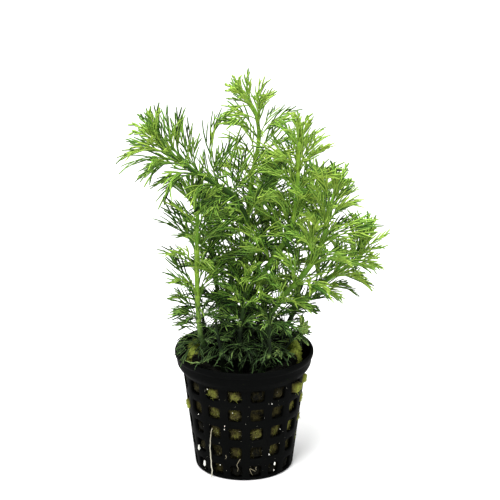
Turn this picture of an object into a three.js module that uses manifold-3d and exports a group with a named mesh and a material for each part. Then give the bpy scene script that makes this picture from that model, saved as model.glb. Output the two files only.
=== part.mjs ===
// A potted stem plant for aquariums: a bunch of leafy shoots rooted in mineral wool, inside a
// small black plastic net pot. Millimetres, +Z up, origin at the centre of the pot's underside,
// with the side that the bunch is looked at from facing -Y.
import * as THREE from "three";
import { mergeVertices } from "three/addons/utils/BufferGeometryUtils.js";
import Module from "manifold-3d";

const wasm = await Module();
wasm.setup();
const { Manifold } = wasm;

// Net pot
const POT_HEIGHT = 50;
const PLASTIC = 1.2;
const RIM_RADIUS = 28;
const RIM_BAND_FOOT = { radius: 27.3, z: 45.2 };
const SHOULDER = { radius: 24.8, z: 41.4 };
const WALL_FOOT = { radius: 19.9, z: 1 };
const UNDERSIDE_RADIUS = 19.1;
const COLUMNS = 16;
const LATTICE_TURN_DEGREES = 2;
const WINDOW_DEGREES = 13.5;
const WINDOW_ROWS = 5;
const WINDOW_HEIGHT = 5.4;
const LOWEST_WINDOW_Z = 3.95;
const ROW_PITCH = 8.6;
const BASE_SLOT = { outer: 15, inner: 8 };

// Mineral wool: a strip rolled round the feet of the shoots
const WOOL_CLEARANCE = 0.4;
const WOOL_TOP_Z = 51;
const WOOL_RING = { outer: 23.2, inner: 18.4 };
const WOOL_EDGE = { width: 1.5, drop: 1, dip: 0.55 };
const WOOL_FOOT = { inset: 1.2, z: 4 };
const WOOL_MIDDLE_Z = 41;
const WOOL_SIDES = 16;
const TUFT = { width: 4.4, height: 4.4, rootDepth: 2.5, tip: { across: 0.3, up: 0.4 } };

// Shoots
const GAP = 0.35;
const OWN_GAP = 0.04;
const LEAVES_PER_WHORL = 6;
const JOINT_HEIGHT = 1.3;
const BUD_HEIGHT = 1.6;
const LEAF_BEND = 0.5;
const LEAF_ARCH = 9;
const LEAF_WIDTH = 0.26;
const CROWN_LEAF_WIDTH = 0.19;
const OPEN_FROM = 0.03;
const FIRST_SPACING = 5.4;
const SPACING_GROWTH = 1.4;
const LAST_SPACING = 10.6;
const LOWEST_WHORL_Z = 46;
const STEM_TAPER = 0.4;
const TURN_PER_SHOOT = 23;
const WANDER_DEGREES = 7;
const LENGTH_SPREAD = 0.1;
const SIDE_SEED = { turn: 5, leaves: 7 };
const SIDE_SHOOT = { route: [[0, 0], [0.4, 0.25], [0.6, 0.8]], bareShare: 0.35, size: 0.57 };
const HOLE_DEPTH_BELOW_FOOT = 0.5;

const PLASTIC_BLACK = new THREE.MeshStandardMaterial({ color: 0x0d0f0f, roughness: 0.42 });
const WOOL_GREEN = new THREE.MeshStandardMaterial({ color: 0x7b7b34, roughness: 1 });
const SHOOT_GREEN = new THREE.MeshStandardMaterial({ color: 0x4f8a26, roughness: 0.5 });
const ROOT_WHITE = new THREE.MeshStandardMaterial({ color: 0xd9d5bd, roughness: 0.6 });

const radians = THREE.MathUtils.degToRad;
const vector = (point) => new THREE.Vector3(...point);

// A repeatable number from 0 to 1 for the pair i, j.
function chance(i, j) {
  const wave = Math.sin(i * 12.9898 + j * 78.233) * 43758.5453;
  return wave - Math.floor(wave);
}

// A closed geometry as a solid that can be joined, cut and measured.
function solidOf(geometry) {
  const bare = geometry.index ? geometry.toNonIndexed() : geometry.clone();
  bare.deleteAttribute("normal");
  bare.deleteAttribute("uv");
  const merged = mergeVertices(bare, 1e-4);
  return new Manifold(
    new wasm.Mesh({
      numProp: 3,
      vertProperties: new Float32Array(merged.attributes.position.array),
      triVerts: new Uint32Array(merged.index.array),
    }),
  );
}

// A solid back as a geometry.
function geometryOf(solid) {
  const mesh = solid.getMesh();
  const geometry = new THREE.BufferGeometry();
  geometry.setAttribute("position", new THREE.BufferAttribute(mesh.vertProperties, 3));
  geometry.setIndex(new THREE.BufferAttribute(mesh.triVerts, 1));
  geometry.computeVertexNormals();
  return geometry;
}

// A list of flat faces, each a convex ring of Vector3, as a geometry. Repeated points drop out.
function facesGeometry(faces) {
  const positions = [];
  for (const face of faces) {
    const ring = face.filter((p, k) => p.distanceTo(face[(k + 1) % face.length]) > 1e-6);
    for (let k = 1; k < ring.length - 1; k++) {
      for (const p of [ring[0], ring[k], ring[k + 1]]) positions.push(p.x, p.y, p.z);
    }
  }
  return new THREE.BufferGeometry().setAttribute(
    "position",
    new THREE.Float32BufferAttribute(positions, 3),
  );
}

// The outside radius of the pot's tapered wall at a height.
function wallRadius(z) {
  const share = (z - WALL_FOOT.z) / (SHOULDER.z - WALL_FOOT.z);
  return THREE.MathUtils.lerp(WALL_FOOT.radius, SHOULDER.radius, share);
}

// A thin shell of revolution. Each station gives the wall's outside and inside point as radius and
// height, from the rim down to the middle of the underside. A cell between two stations and two
// angles is left open where isOpen says so.
function latticeShell(stations, angles, isOpen) {
  const rows = stations.length - 1;
  const count = angles.length;
  const filled = (i, j) => i >= 0 && i < rows && !isOpen(i, (j + count) % count);
  const at = (side, i, j) => {
    const [radius, z] = stations[i][side];
    const angle = angles[j % count];
    return new THREE.Vector3(radius * Math.cos(angle), radius * Math.sin(angle), z);
  };
  const faces = [];
  for (let i = 0; i < rows; i++) {
    for (let j = 0; j < count; j++) {
      if (!filled(i, j)) continue;
      const [outA, outB] = [at("outer", i, j), at("outer", i, j + 1)];
      const [outC, outD] = [at("outer", i + 1, j + 1), at("outer", i + 1, j)];
      const [inA, inB] = [at("inner", i, j), at("inner", i, j + 1)];
      const [inC, inD] = [at("inner", i + 1, j + 1), at("inner", i + 1, j)];
      faces.push([outD, outC, outB, outA], [inA, inB, inC, inD]);
      if (!filled(i - 1, j)) faces.push([outA, outB, inB, inA]);
      if (!filled(i + 1, j) && i + 1 < rows) faces.push([outD, inD, inC, outC]);
      if (!filled(i, j - 1)) faces.push([outA, inA, inD, outD]);
      if (!filled(i, j + 1)) faces.push([outB, outC, inC, inB]);
    }
  }
  return facesGeometry(faces);
}

const windowColumnAngle = (column) =>
  radians((column + 0.5) * (360 / COLUMNS) - 90 + LATTICE_TURN_DEGREES);
const windowRowZ = (row) => LOWEST_WINDOW_Z + row * ROW_PITCH;

function netPot() {
  const wall = (z) => ({ outer: [wallRadius(z), z], inner: [wallRadius(z) - PLASTIC, z] });
  const floor = (radius) => ({ outer: [radius, 0], inner: [radius, PLASTIC] });
  const stations = [
    { outer: [RIM_RADIUS, POT_HEIGHT], inner: [RIM_RADIUS - PLASTIC, POT_HEIGHT] },
    {
      outer: [RIM_BAND_FOOT.radius, RIM_BAND_FOOT.z],
      inner: [RIM_BAND_FOOT.radius - PLASTIC, RIM_BAND_FOOT.z],
    },
    wall(SHOULDER.z),
  ];
  const windowRows = new Set();
  for (let row = WINDOW_ROWS - 1; row >= 0; row--) {
    windowRows.add(stations.length);
    const half = WINDOW_HEIGHT / 2;
    stations.push(wall(windowRowZ(row) + half), wall(windowRowZ(row) - half));
  }
  stations.push(
    {
      outer: [WALL_FOOT.radius, WALL_FOOT.z],
      inner: [WALL_FOOT.radius - PLASTIC, WALL_FOOT.z + PLASTIC / 2],
    },
    { outer: [UNDERSIDE_RADIUS, 0], inner: [UNDERSIDE_RADIUS - PLASTIC, PLASTIC] },
    floor(BASE_SLOT.outer),
    floor(BASE_SLOT.inner),
    floor(0),
  );
  const slotRow = stations.length - 3;
  const angles = [];
  for (let column = 0; column < COLUMNS; column++) {
    const middle = windowColumnAngle(column);
    const half = radians(WINDOW_DEGREES / 2);
    angles.push(middle - half, middle + half);
  }
  const isOpen = (row, cell) => {
    const isWindowColumn = cell % 2 === 0;
    if (row === slotRow) return isWindowColumn && cell % 4 === 0;
    return isWindowColumn && windowRows.has(row);
  };
  return solidOf(latticeShell(stations, angles, isOpen));
}

// A tuft of wool that presses out through one window, by bulge past the plastic. Its tip stands up
// or hangs down from the middle of the window.
function woolTuft({ row, column, bulge, up = TUFT.tip.up }) {
  const z = windowRowZ(row);
  const outside = wallRadius(z);
  const turn = windowColumnAngle(column);
  const out = new THREE.Vector3(Math.cos(turn), Math.sin(turn), 0);
  const across = new THREE.Vector3(-out.y, out.x, 0);
  const corner = (radius, y, height) =>
    out.clone().multiplyScalar(radius).addScaledVector(across, y).setZ(z + height);
  const ring = (radius) =>
    [[-1, -1], [1, -1], [1, 1], [-1, 1]].map(([y, height]) =>
      corner(radius, (y * TUFT.width) / 2, (height * TUFT.height) / 2),
    );
  const root = ring(outside - PLASTIC - TUFT.rootDepth);
  const mouth = ring(outside - PLASTIC / 3);
  const tip = corner(outside + bulge, TUFT.tip.across, up);
  const faces = [[...root].reverse()];
  for (let k = 0; k < 4; k++) {
    const next = (k + 1) % 4;
    faces.push([root[k], root[next], mouth[next], mouth[k]]);
    faces.push([mouth[k], mouth[next], tip]);
  }
  return solidOf(facesGeometry(faces));
}

// Where the wool presses through the pot: row from the bottom, column anticlockwise seen from
// above starting right of the front rib, and how far it stands past the plastic.
const TUFTS = [
  { row: 4, column: 2, bulge: 2.8 },
  { row: 4, column: 3, bulge: 1.8 },
  { row: 3, column: 3, bulge: 1.1 },
  { row: 2, column: 3, bulge: 0.9 },
  { row: 1, column: 3, bulge: 0.4 },
  { row: 3, column: 12, bulge: 1.6, up: -2.3 },
  { row: 4, column: 14, bulge: 0.4 },
  { row: 4, column: 15, bulge: 0.4 },
  { row: 3, column: 15, bulge: 0.3 },
  { row: 2, column: 0, bulge: 0.3 },
  { row: 3, column: 6, bulge: 1 },
  { row: 4, column: 8, bulge: 0.8 },
  { row: 2, column: 9, bulge: 0.7 },
];

// The roll. Its upper edge stands highest at the left and right and dips to the front and back.
function woolBody() {
  const inside = (z) => wallRadius(z) - PLASTIC - WOOL_CLEARANCE;
  const lowZ = PLASTIC + WOOL_CLEARANCE;
  const profile = [
    [0, lowZ],
    [UNDERSIDE_RADIUS - PLASTIC - WOOL_FOOT.inset, lowZ],
    [inside(WOOL_FOOT.z), WOOL_FOOT.z],
    [inside(SHOULDER.z - WOOL_EDGE.drop), SHOULDER.z - WOOL_EDGE.drop],
    [WOOL_RING.outer, WOOL_TOP_Z - WOOL_EDGE.drop],
    [WOOL_RING.outer - WOOL_EDGE.width, WOOL_TOP_Z],
    [WOOL_RING.inner + WOOL_EDGE.width, WOOL_TOP_Z],
    [WOOL_RING.inner, WOOL_TOP_Z - WOOL_EDGE.drop],
    [WOOL_RING.inner - WOOL_EDGE.width, WOOL_MIDDLE_Z],
    [0, WOOL_MIDDLE_Z],
  ];
  const points = profile.map(([radius, z]) => new THREE.Vector2(radius, z));
  const geometry = new THREE.LatheGeometry(points, WOOL_SIDES).rotateX(Math.PI / 2);
  const place = geometry.attributes.position;
  for (let i = 0; i < place.count; i++) {
    const [x, y, above] = [place.getX(i), place.getY(i), place.getZ(i) - WOOL_MIDDLE_Z];
    if (above <= 0 || Math.hypot(x, y) === 0) continue;
    const dip = WOOL_EDGE.dip * (y / Math.hypot(x, y)) ** 2;
    place.setZ(i, WOOL_MIDDLE_Z + above * (1 - dip));
  }
  return solidOf(geometry);
}

// The stem's direction at a share of its length, with two directions across it.
function frameAt(curve, share) {
  const along = curve.getTangentAt(share);
  const side = new THREE.Vector3(0, 1, 0).cross(along).normalize();
  const front = along.clone().cross(side);
  return { along, side, front };
}

// The shoots. A route is the middle line of a stem, from its foot in the wool to its growing tip,
// leaf is the length of a full-grown leaf, and spread is how many degrees more than usual its
// leaves lean out. crown is how long the leaves at the growing tip are, as a share of the usual.
// sway is how many degrees less a leaf on the right of the crown leans out, and a leaf on the left
// more. A side shoot starts at a share of its stem's length and turns away from the stem by the
// angle given, anticlockwise seen from the tip.
const SHOOTS = {
  shoot_tall: {
    route: [
      [-1, 8, 35], [-1, 8, 46], [-0.5, 8, 67], [1, 9, 86], [1.5, 10, 103],
      [3.5, 9, 121], [5.8, 7.5, 135], [4.8, 6, 146], [1.8, 4, 152], [-1, 3, 156],
    ],
    radius: 1.15, leaf: 19.5, spread: 8, crown: 0.76, sway: 14,
  },
  shoot_plume: {
    route: [
      [-5.5, 3, 35], [-6, 2, 46], [-6.5, 0, 66], [-6, -2, 77], [0.8, -5, 96], [0.4, -5, 108],
      [-4.7, -7, 117], [-14.7, -10, 125], [-23.6, -12, 131.5], [-30.5, -13, 137.5],
      [-34, -13.5, 142],
    ],
    radius: 1.2, leaf: 23.5, spread: 4,
  },
  shoot_left: {
    route: [
      [-13, -3, 35], [-14.5, -4, 46], [-17.7, -5, 59.5], [-18.6, -8, 80], [-18.5, -10, 100],
      [-18.2, -10, 111], [-19.5, -9, 117],
    ],
    radius: 1.15, leaf: 21.5, spread: -2,
  },
  shoot_centre: {
    route: [
      [2.5, 1, 35], [2.5, 0, 46], [3.2, -3, 69], [7.5, -5, 83], [14.6, -7, 95.5],
      [19, -5.5, 104], [21, -3, 118], [21.2, -2, 130], [21.8, -1.5, 139],
    ],
    radius: 1.2, leaf: 20, spread: 8,
  },
  shoot_right: {
    route: [
      [7, -6, 35], [8, -7, 46], [9.5, -9, 64], [15, -10, 75], [24.8, -12, 87.5],
      [30.5, -11.5, 99], [33, -10, 111], [36, -9, 120],
    ],
    radius: 1.25, leaf: 20, spread: 2,
    sideShoots: [{ at: 0.7, turn: 215, reach: 12 }],
  },
  shoot_far_right: {
    route: [
      [12.5, 0.5, 35], [13.5, 0, 46], [18.4, 0, 62], [26, 0, 73], [37, 1, 81.5],
      [44.5, 1, 87], [47.4, 1, 92], [48, 1, 97.5],
    ],
    radius: 1.15, leaf: 19, spread: 2,
    sideShoots: [{ at: 0.72, turn: 95, reach: 11 }],
  },
  shoot_back_left: {
    route: [
      [-7.5, 10, 35], [-8, 11, 46], [-10, 14, 64], [-13, 20, 80], [-14, 23, 95], [-12, 24, 104],
    ],
    radius: 1.1, leaf: 17, spread: 0,
  },
  shoot_back_right: {
    route: [
      [5, 11, 35], [5.5, 11.5, 46], [8, 15, 64], [13.5, 20, 80], [20, 24, 96],
      [27, 26, 107], [30, 26, 112],
    ],
    radius: 1.1, leaf: 17, spread: 0,
  },
  shoot_back: {
    route: [
      [0, 14, 35], [0, 14.5, 46], [2, 17, 64], [6.5, 19, 84], [10.5, 18, 104], [12, 16.5, 119],
    ],
    radius: 1.1, leaf: 17, spread: 6,
  },
  shoot_short_centre: {
    route: [[-1.5, -6.5, 35], [-1.5, -8, 46], [-1.6, -12, 60], [0, -13, 75], [1.2, -13, 86]],
    radius: 0.95, leaf: 14, spread: 0,
  },
  shoot_low_front_left: {
    route: [
      [-8, -9, 35], [-8.3, -11, 44], [-8.9, -13.5, 53], [-10.6, -13.5, 61], [-11.2, -13, 68],
    ],
    radius: 0.95, leaf: 14, spread: 0,
  },
  shoot_low_front_right: {
    route: [[4, -12, 35], [6, -14, 44], [9.8, -16.5, 53], [10, -15, 60], [10.3, -14, 67]],
    radius: 0.95, leaf: 14, spread: 0,
  },
  shoot_low_right: {
    route: [[13.2, -6, 35], [13.6, -6, 44], [15.2, -5.5, 50], [19.6, -4.5, 56], [23.5, -4, 61]],
    radius: 0.95, leaf: 12, spread: 0,
  },
  shoot_low_left: {
    route: [[-13.5, 4.5, 35], [-14, 5, 44], [-16, 6, 54], [-17, 7, 64]],
    radius: 0.95, leaf: 12, spread: 0,
  },
};

// The white root that hangs outside the pot from one of its windows.
const ROOT = {
  name: "root_long",
  route: [
    [-12.7, -18.3, 22.6], [-13.2, -19.6, 21], [-13.6, -19.1, 14], [-13.2, -18.6, 7], [-13, -18, 0.8],
  ],
  radius: 0.4,
  steps: 8,
  sides: 5,
};

const curveOf = (route) => new THREE.CatmullRomCurve3(route.map(vector), false, "catmullrom", 0.5);

// The corners of a ring round a curve, anticlockwise seen from the curve's end.
function ringAt(curve, share, radius, turn, sides) {
  const { side, front } = frameAt(curve, share);
  const centre = curve.getPointAt(share);
  return Array.from({ length: sides }, (_, n) => {
    const angle = radians(turn) + (n / sides) * 2 * Math.PI;
    return centre
      .clone()
      .addScaledVector(side, radius * Math.cos(angle))
      .addScaledVector(front, radius * Math.sin(angle));
  });
}

// The faces between a ring and the next one up, whose corners stand straight above it.
function bandFaces(lower, upper) {
  return lower.flatMap((corner, n) => {
    const next = (n + 1) % lower.length;
    return [[corner, lower[next], upper[next]], [corner, upper[next], upper[n]]];
  });
}

// The same where the upper ring is turned on by half a face.
function turnedBandFaces(lower, upper) {
  return lower.flatMap((corner, n) => {
    const next = (n + 1) % lower.length;
    return [[corner, lower[next], upper[n]], [lower[next], upper[next], upper[n]]];
  });
}

function rootSolid({ route, radius, steps, sides }) {
  const curve = curveOf(route);
  const rings = Array.from({ length: steps + 1 }, (_, i) =>
    ringAt(curve, i / steps, radius * (1 - STEM_TAPER * (i / steps)), 0, sides),
  );
  const faces = [[...rings[0]].reverse(), rings[steps]];
  for (let i = 0; i < steps; i++) faces.push(...bandFaces(rings[i], rings[i + 1]));
  return solidOf(facesGeometry(faces));
}

// The joints of a stem that carry leaves, from the bottom up, as shares of the stem's length. They
// stand closer together towards the growing tip.
function jointShares(curve, isRoom) {
  const length = curve.getLength();
  const shares = [];
  let fromTip = BUD_HEIGHT;
  for (let k = 0; fromTip < length; k++) {
    const share = 1 - fromTip / length;
    if (!isRoom(curve.getPointAt(share), share)) break;
    shares.unshift(share);
    fromTip += Math.min(LAST_SPACING, FIRST_SPACING + SPACING_GROWTH * k);
  }
  return shares;
}

// A stem without leaves: its joints from the bottom up, each with the ring below and the ring
// above the leaves. The stem narrows towards its growing tip.
function makeStem(curve, radius, isRoom, seed) {
  const length = curve.getLength();
  const halfTurn = 180 / LEAVES_PER_WHORL;
  const thick = (share) => radius * (1 - STEM_TAPER * share ** 2);
  const ring = (share, turn) => ringAt(curve, share, thick(share), turn, LEAVES_PER_WHORL);
  const joints = jointShares(curve, isRoom).map((share, j) => {
    const turn = seed * TURN_PER_SHOOT + j * halfTurn;
    const half = JOINT_HEIGHT / 2 / length;
    return { share, turn, lower: ring(share - half, turn), upper: ring(share + half, turn) };
  });
  return { curve, joints, foot: ring(0, joints[0].turn), tip: curve.getPoint(1) };
}

// The faces of a leaf that grows from the four corners of one face of its stem's joint.
function bladeFaces({ a, b, c, d, left, right, tip }) {
  return [
    [a, b, tip], [b, c, right], [c, d, left], [c, left, right],
    [d, a, left], [tip, b, right], [a, tip, left], [tip, right, left],
  ];
}

// A leaf by itself as a solid, from the given share of its length to the tip.
function bladeSolid(blade, from) {
  const { a, b, c, d, left, right, tip } = blade;
  const cut = {
    left, right, tip,
    a: a.clone().lerp(tip, from),
    b: b.clone().lerp(tip, from),
    c: c.clone().lerp(right, from / LEAF_BEND),
    d: d.clone().lerp(left, from / LEAF_BEND),
  };
  return solidOf(facesGeometry([...bladeFaces(cut), [cut.d, cut.c, cut.b, cut.a]]));
}

// A stem with its leaves as one closed surface. leaves maps a joint and a face to a blade.
function shootSolid({ joints, foot, tip }, leaves = new Map()) {
  const faces = [[...foot].reverse(), ...bandFaces(foot, joints[0].lower)];
  joints.forEach(({ lower, upper }, j) => {
    lower.forEach((corner, n) => {
      const next = (n + 1) % lower.length;
      const blade = leaves.get(`${j} ${n}`);
      if (blade) faces.push(...bladeFaces(blade));
      else faces.push([corner, lower[next], upper[next], upper[n]]);
    });
    if (j + 1 < joints.length) faces.push(...turnedBandFaces(upper, joints[j + 1].lower));
    else upper.forEach((corner, n) => faces.push([corner, upper[(n + 1) % upper.length], tip]));
  });
  return solidOf(facesGeometry(faces));
}

// How long a leaf is, as a share of full length, and how far it leans from the stem, by the number
// of joints between it and the tip.
const LENGTH_SHARES = [0.57, 0.87, 1];
const CROWN_JOINTS = 2;
const LEANS = [27, 42, 51, 55, 56];
const SPREAD_SHARES = [0, 0.3, 0.7, 1];
const SWAY_SHARES = [1, 1, 1, 0];
const LOW_LEAF = { z: 46, share: 0.58, fullZ: 90 };
const DROOP = { degrees: 46, z: 50, noneZ: 68 };
const fromTable = (table, k) => table[Math.min(k, table.length - 1)];

// A leaf as it would stand with nothing in the way, on face n of a joint that is k joints below
// the tip.
function leafPlan(stem, j, n, seed) {
  const k = stem.joints.length - 1 - j;
  const { share, turn, lower, upper } = stem.joints[j];
  const { along, side } = frameAt(stem.curve, share);
  const next = (n + 1) % LEAVES_PER_WHORL;
  const { z } = stem.curve.getPointAt(share);
  const grown = THREE.MathUtils.mapLinear(z, LOW_LEAF.z, LOW_LEAF.fullZ, LOW_LEAF.share, 1);
  const crown = k < CROWN_JOINTS ? stem.crown : 1;
  const length = stem.leafLength * fromTable(LENGTH_SHARES, k) * crown * Math.min(1, grown);
  const droop = DROOP.degrees * (1 - THREE.MathUtils.smoothstep(z, DROOP.z, DROOP.noneZ));
  const wander = (2 * chance(seed + k, n) - 1) * WANDER_DEGREES;
  const outTurn = turn + ((n + 0.5) / LEAVES_PER_WHORL) * 360 + wander;
  const out = side.clone().applyAxisAngle(along, radians(outTurn));
  return {
    a: lower[n],
    b: lower[next],
    c: upper[next],
    d: upper[n],
    along,
    out,
    length: length * (1 + LENGTH_SPREAD * (2 * chance(n, seed + k * 3) - 1)),
    width: k === 0 ? CROWN_LEAF_WIDTH : LEAF_WIDTH,
    lean:
      fromTable(LEANS, k) +
      fromTable(SPREAD_SHARES, k) * stem.spread -
      fromTable(SWAY_SHARES, k) * stem.sway * out.x +
      droop +
      (2 * chance(n * 5, seed + k) - 1) * WANDER_DEGREES,
  };
}

// The leaf's outline points. It arches outwards, so its keel runs straight and its face is bent.
function bladeOf({ a, b, c, d, along, out, length, width, lean }) {
  const heading = (degrees) =>
    along
      .clone()
      .multiplyScalar(Math.cos(radians(degrees)))
      .addScaledVector(out, Math.sin(radians(degrees)));
  const start = c.clone().add(d).multiplyScalar(0.5);
  const bend = start.clone().addScaledVector(heading(lean - LEAF_ARCH), length * LEAF_BEND);
  const tip = bend.clone().addScaledVector(heading(lean + LEAF_ARCH), length * (1 - LEAF_BEND));
  const across = along.clone().cross(out).setLength((length * width) / 2);
  return { a, b, c, d, tip, left: bend.clone().sub(across), right: bend.clone().add(across) };
}

const obstacle = (owner, solid) => {
  const { min, max } = solid.boundingBox();
  return { owner, solid, box: new THREE.Box3(vector(min), vector(max)) };
};

function isClear({ solid, box }, obstacles, gap) {
  const reach = box.clone().expandByScalar(gap);
  return obstacles.every(
    (other) => !reach.intersectsBox(other.box) || solid.minGap(other.solid, gap * 1.01) >= gap,
  );
}

// How a leaf may be turned, tilted and shortened, in this order, to clear what is already there.
const TURNS = [0, 10, -10, 20, -20, 30, -30];
const TILTS = [0, -9, 9, -18, 18];
const TRIMS = [1, 0.85, 0.7, 0.5];

function placeLeaf(owner, plan, others, own) {
  for (const trim of TRIMS) {
    for (const tilt of TILTS) {
      for (const turn of TURNS) {
        const blade = bladeOf({
          ...plan,
          out: plan.out.clone().applyAxisAngle(plan.along, radians(turn)),
          length: plan.length * trim,
          lean: plan.lean + tilt,
        });
        const whole = obstacle(owner, bladeSolid(blade, 0));
        const open = obstacle(owner, bladeSolid(blade, OPEN_FROM));
        if (isClear(whole, others, GAP) && isClear(open, own, OWN_GAP)) {
          return { blade, whole, open };
        }
      }
    }
  }
  return null;
}

// The stems of one shoot: the main one and its side shoots, which start inside it.
function stemsOf(name, seed) {
  const { route, radius, leaf, spread, crown = 1, sway = 0, sideShoots = [] } = SHOOTS[name];
  const curve = curveOf(route);
  const isAboveWool = (point) => point.z > LOWEST_WHORL_Z;
  const habit = { leafLength: leaf, spread, crown, sway };
  const main = { ...makeStem(curve, radius, isAboveWool, seed), ...habit };
  const branches = sideShoots.map(({ at, turn, reach }) => {
    const { along, side } = frameAt(curve, at);
    const out = side.clone().applyAxisAngle(along, radians(turn));
    const start = curve.getPointAt(at);
    const points = SIDE_SHOOT.route.map(([outwards, upwards]) =>
      start
        .clone()
        .addScaledVector(out, reach * outwards)
        .addScaledVector(along, reach * upwards)
        .toArray(),
    );
    const isClearOfStem = (point, share) => share > SIDE_SHOOT.bareShare;
    const stem = makeStem(
      curveOf(points),
      radius * SIDE_SHOOT.size,
      isClearOfStem,
      seed + SIDE_SEED.turn,
    );
    return { ...stem, leafLength: leaf * SIDE_SHOOT.size, spread: 0, crown: 1, sway: 0 };
  });
  return [main, ...branches];
}

// All the stems stand before the first leaf. Leaves are then placed joint by joint over all the
// shoots at once, from the tips down, so that no shoot takes all the room.
function growShoots(shoots, fixed) {
  const bare = shoots.flatMap(({ name, stems }) =>
    stems.map((stem) => obstacle(name, shootSolid(stem))),
  );
  const placed = [];
  const stems = shoots.flatMap(({ name, stems }, seed) =>
    stems.map((stem, s) => ({ name, stem, seed: seed + s * SIDE_SEED.leaves, leaves: new Map() })),
  );
  const most = Math.max(...stems.map(({ stem }) => stem.joints.length));
  for (let k = 0; k < most; k++) {
    for (const { name, stem, seed, leaves } of stems) {
      const j = stem.joints.length - 1 - k;
      if (j < 0) continue;
      for (let n = 0; n < LEAVES_PER_WHORL; n++) {
        const foreign = [...bare, ...placed.map(({ whole }) => whole)].filter(
          ({ owner }) => owner !== name,
        );
        const own = [...bare, ...placed.map(({ open }) => open)].filter(
          ({ owner }) => owner === name,
        );
        const plan = leafPlan(stem, j, n, seed);
        const leaf = placeLeaf(name, plan, [...fixed, ...foreign], own);
        if (!leaf) continue;
        placed.push(leaf);
        leaves.set(`${j} ${n}`, leaf.blade);
      }
    }
  }
  return shoots.map(({ name }) => {
    const solids = stems
      .filter((entry) => entry.name === name)
      .map(({ stem, leaves }) => shootSolid(stem, leaves));
    return { name, solid: solids.length > 1 ? Manifold.union(solids) : solids[0] };
  });
}

// The wool, with a snug hole round the foot of every stem.
function mineralWool(shoots) {
  const tufts = TUFTS.map(woolTuft);
  const holes = shoots.map(({ name, stems: [{ curve, joints, foot }] }) => {
    const bottom = curve.getPoint(0);
    const top = curve.getPointAt(joints[0].share);
    const line = new THREE.LineCurve3(
      bottom.clone().sub(top).setLength(HOLE_DEPTH_BELOW_FOOT).add(bottom),
      top,
    );
    const radius = SHOOTS[name].radius + 2 * GAP;
    const turn = joints[0].turn;
    const ring = (share) => ringAt(line, share, radius, turn, foot.length);
    const [low, high] = [ring(0), ring(1)];
    return solidOf(facesGeometry([[...low].reverse(), ...bandFaces(low, high), high]));
  });
  return woolBody().add(Manifold.union(tufts)).subtract(Manifold.union(holes));
}

function namedMesh(name, solid, material) {
  const mesh = new THREE.Mesh(geometryOf(solid), material);
  mesh.name = name;
  return mesh;
}

const shoots = Object.keys(SHOOTS).map((name, seed) => ({ name, stems: stemsOf(name, seed) }));
const pot = netPot();
const wool = mineralWool(shoots);
const root = rootSolid(ROOT);
const fixed = [obstacle("net_pot", pot), obstacle("mineral_wool", wool), obstacle(ROOT.name, root)];

const plant = new THREE.Group();
plant.name = "potted_stem_plant";
plant.add(namedMesh("net_pot", pot, PLASTIC_BLACK));
plant.add(namedMesh("mineral_wool", wool, WOOL_GREEN));
plant.add(namedMesh(ROOT.name, root, ROOT_WHITE));
for (const { name, solid } of growShoots(shoots, fixed)) {
  plant.add(namedMesh(name, solid, SHOOT_GREEN));
}

export default plant;
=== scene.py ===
import random
from dataclasses import dataclass
from math import atan2, copysign, cos, degrees, exp, hypot, pi, radians, sin, sqrt

import bmesh
import bpy
import numpy as np
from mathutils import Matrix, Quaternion, Vector, noise


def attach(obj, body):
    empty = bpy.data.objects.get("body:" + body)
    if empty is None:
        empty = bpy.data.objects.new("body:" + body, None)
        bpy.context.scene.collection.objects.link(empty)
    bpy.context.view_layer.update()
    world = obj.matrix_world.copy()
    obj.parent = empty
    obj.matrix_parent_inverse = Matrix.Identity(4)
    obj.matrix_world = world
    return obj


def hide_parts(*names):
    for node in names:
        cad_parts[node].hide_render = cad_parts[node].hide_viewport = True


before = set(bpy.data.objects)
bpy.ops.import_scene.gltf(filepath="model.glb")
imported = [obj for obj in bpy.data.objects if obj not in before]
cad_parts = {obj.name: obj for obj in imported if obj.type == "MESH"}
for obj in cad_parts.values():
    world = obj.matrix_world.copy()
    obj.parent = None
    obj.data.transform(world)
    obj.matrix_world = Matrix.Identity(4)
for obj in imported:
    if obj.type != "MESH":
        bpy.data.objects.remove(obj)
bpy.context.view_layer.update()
scene = bpy.context.scene

# Lengths are in millimetres and angles in degrees, with X to the right, Y to the back and Z up.
# Tones run from 0, the darkest colour of a material, to 1, its lightest.
MM = 0.001
UP = Vector((0, 0, 1))
TO_BACK = Vector((0, 1, 0))


@dataclass
class Shoot:
    """A shoot: the middle line of its stem, from the foot in the wool to the growing tip, and how it
    differs from usual."""

    route: tuple
    radius: float = 1.1  # of the stem
    light: float = 0.0  # how much lighter the leaves are
    stem: float = 0.3  # how light the stem is
    fresh: float = 1.0  # how far stem and leaves get lighter towards the growing tip
    dark_below: float = 56.0  # the height from which the stem gets light
    spot: float = 0.0  # the height of a pale joint on the stem, if it has one
    thin: float = 0.0  # how old and thin the leaves are, up to 1
    sag: float = 0.0  # how far the leaves that point left hang, as a share of their length
    room: tuple = (36, 51)  # the gap in a whorl that takes one more leaf, near the pot and high up
    side: tuple = ()  # a side shoot's share of the stem, its turn round the stem and its reach


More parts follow.
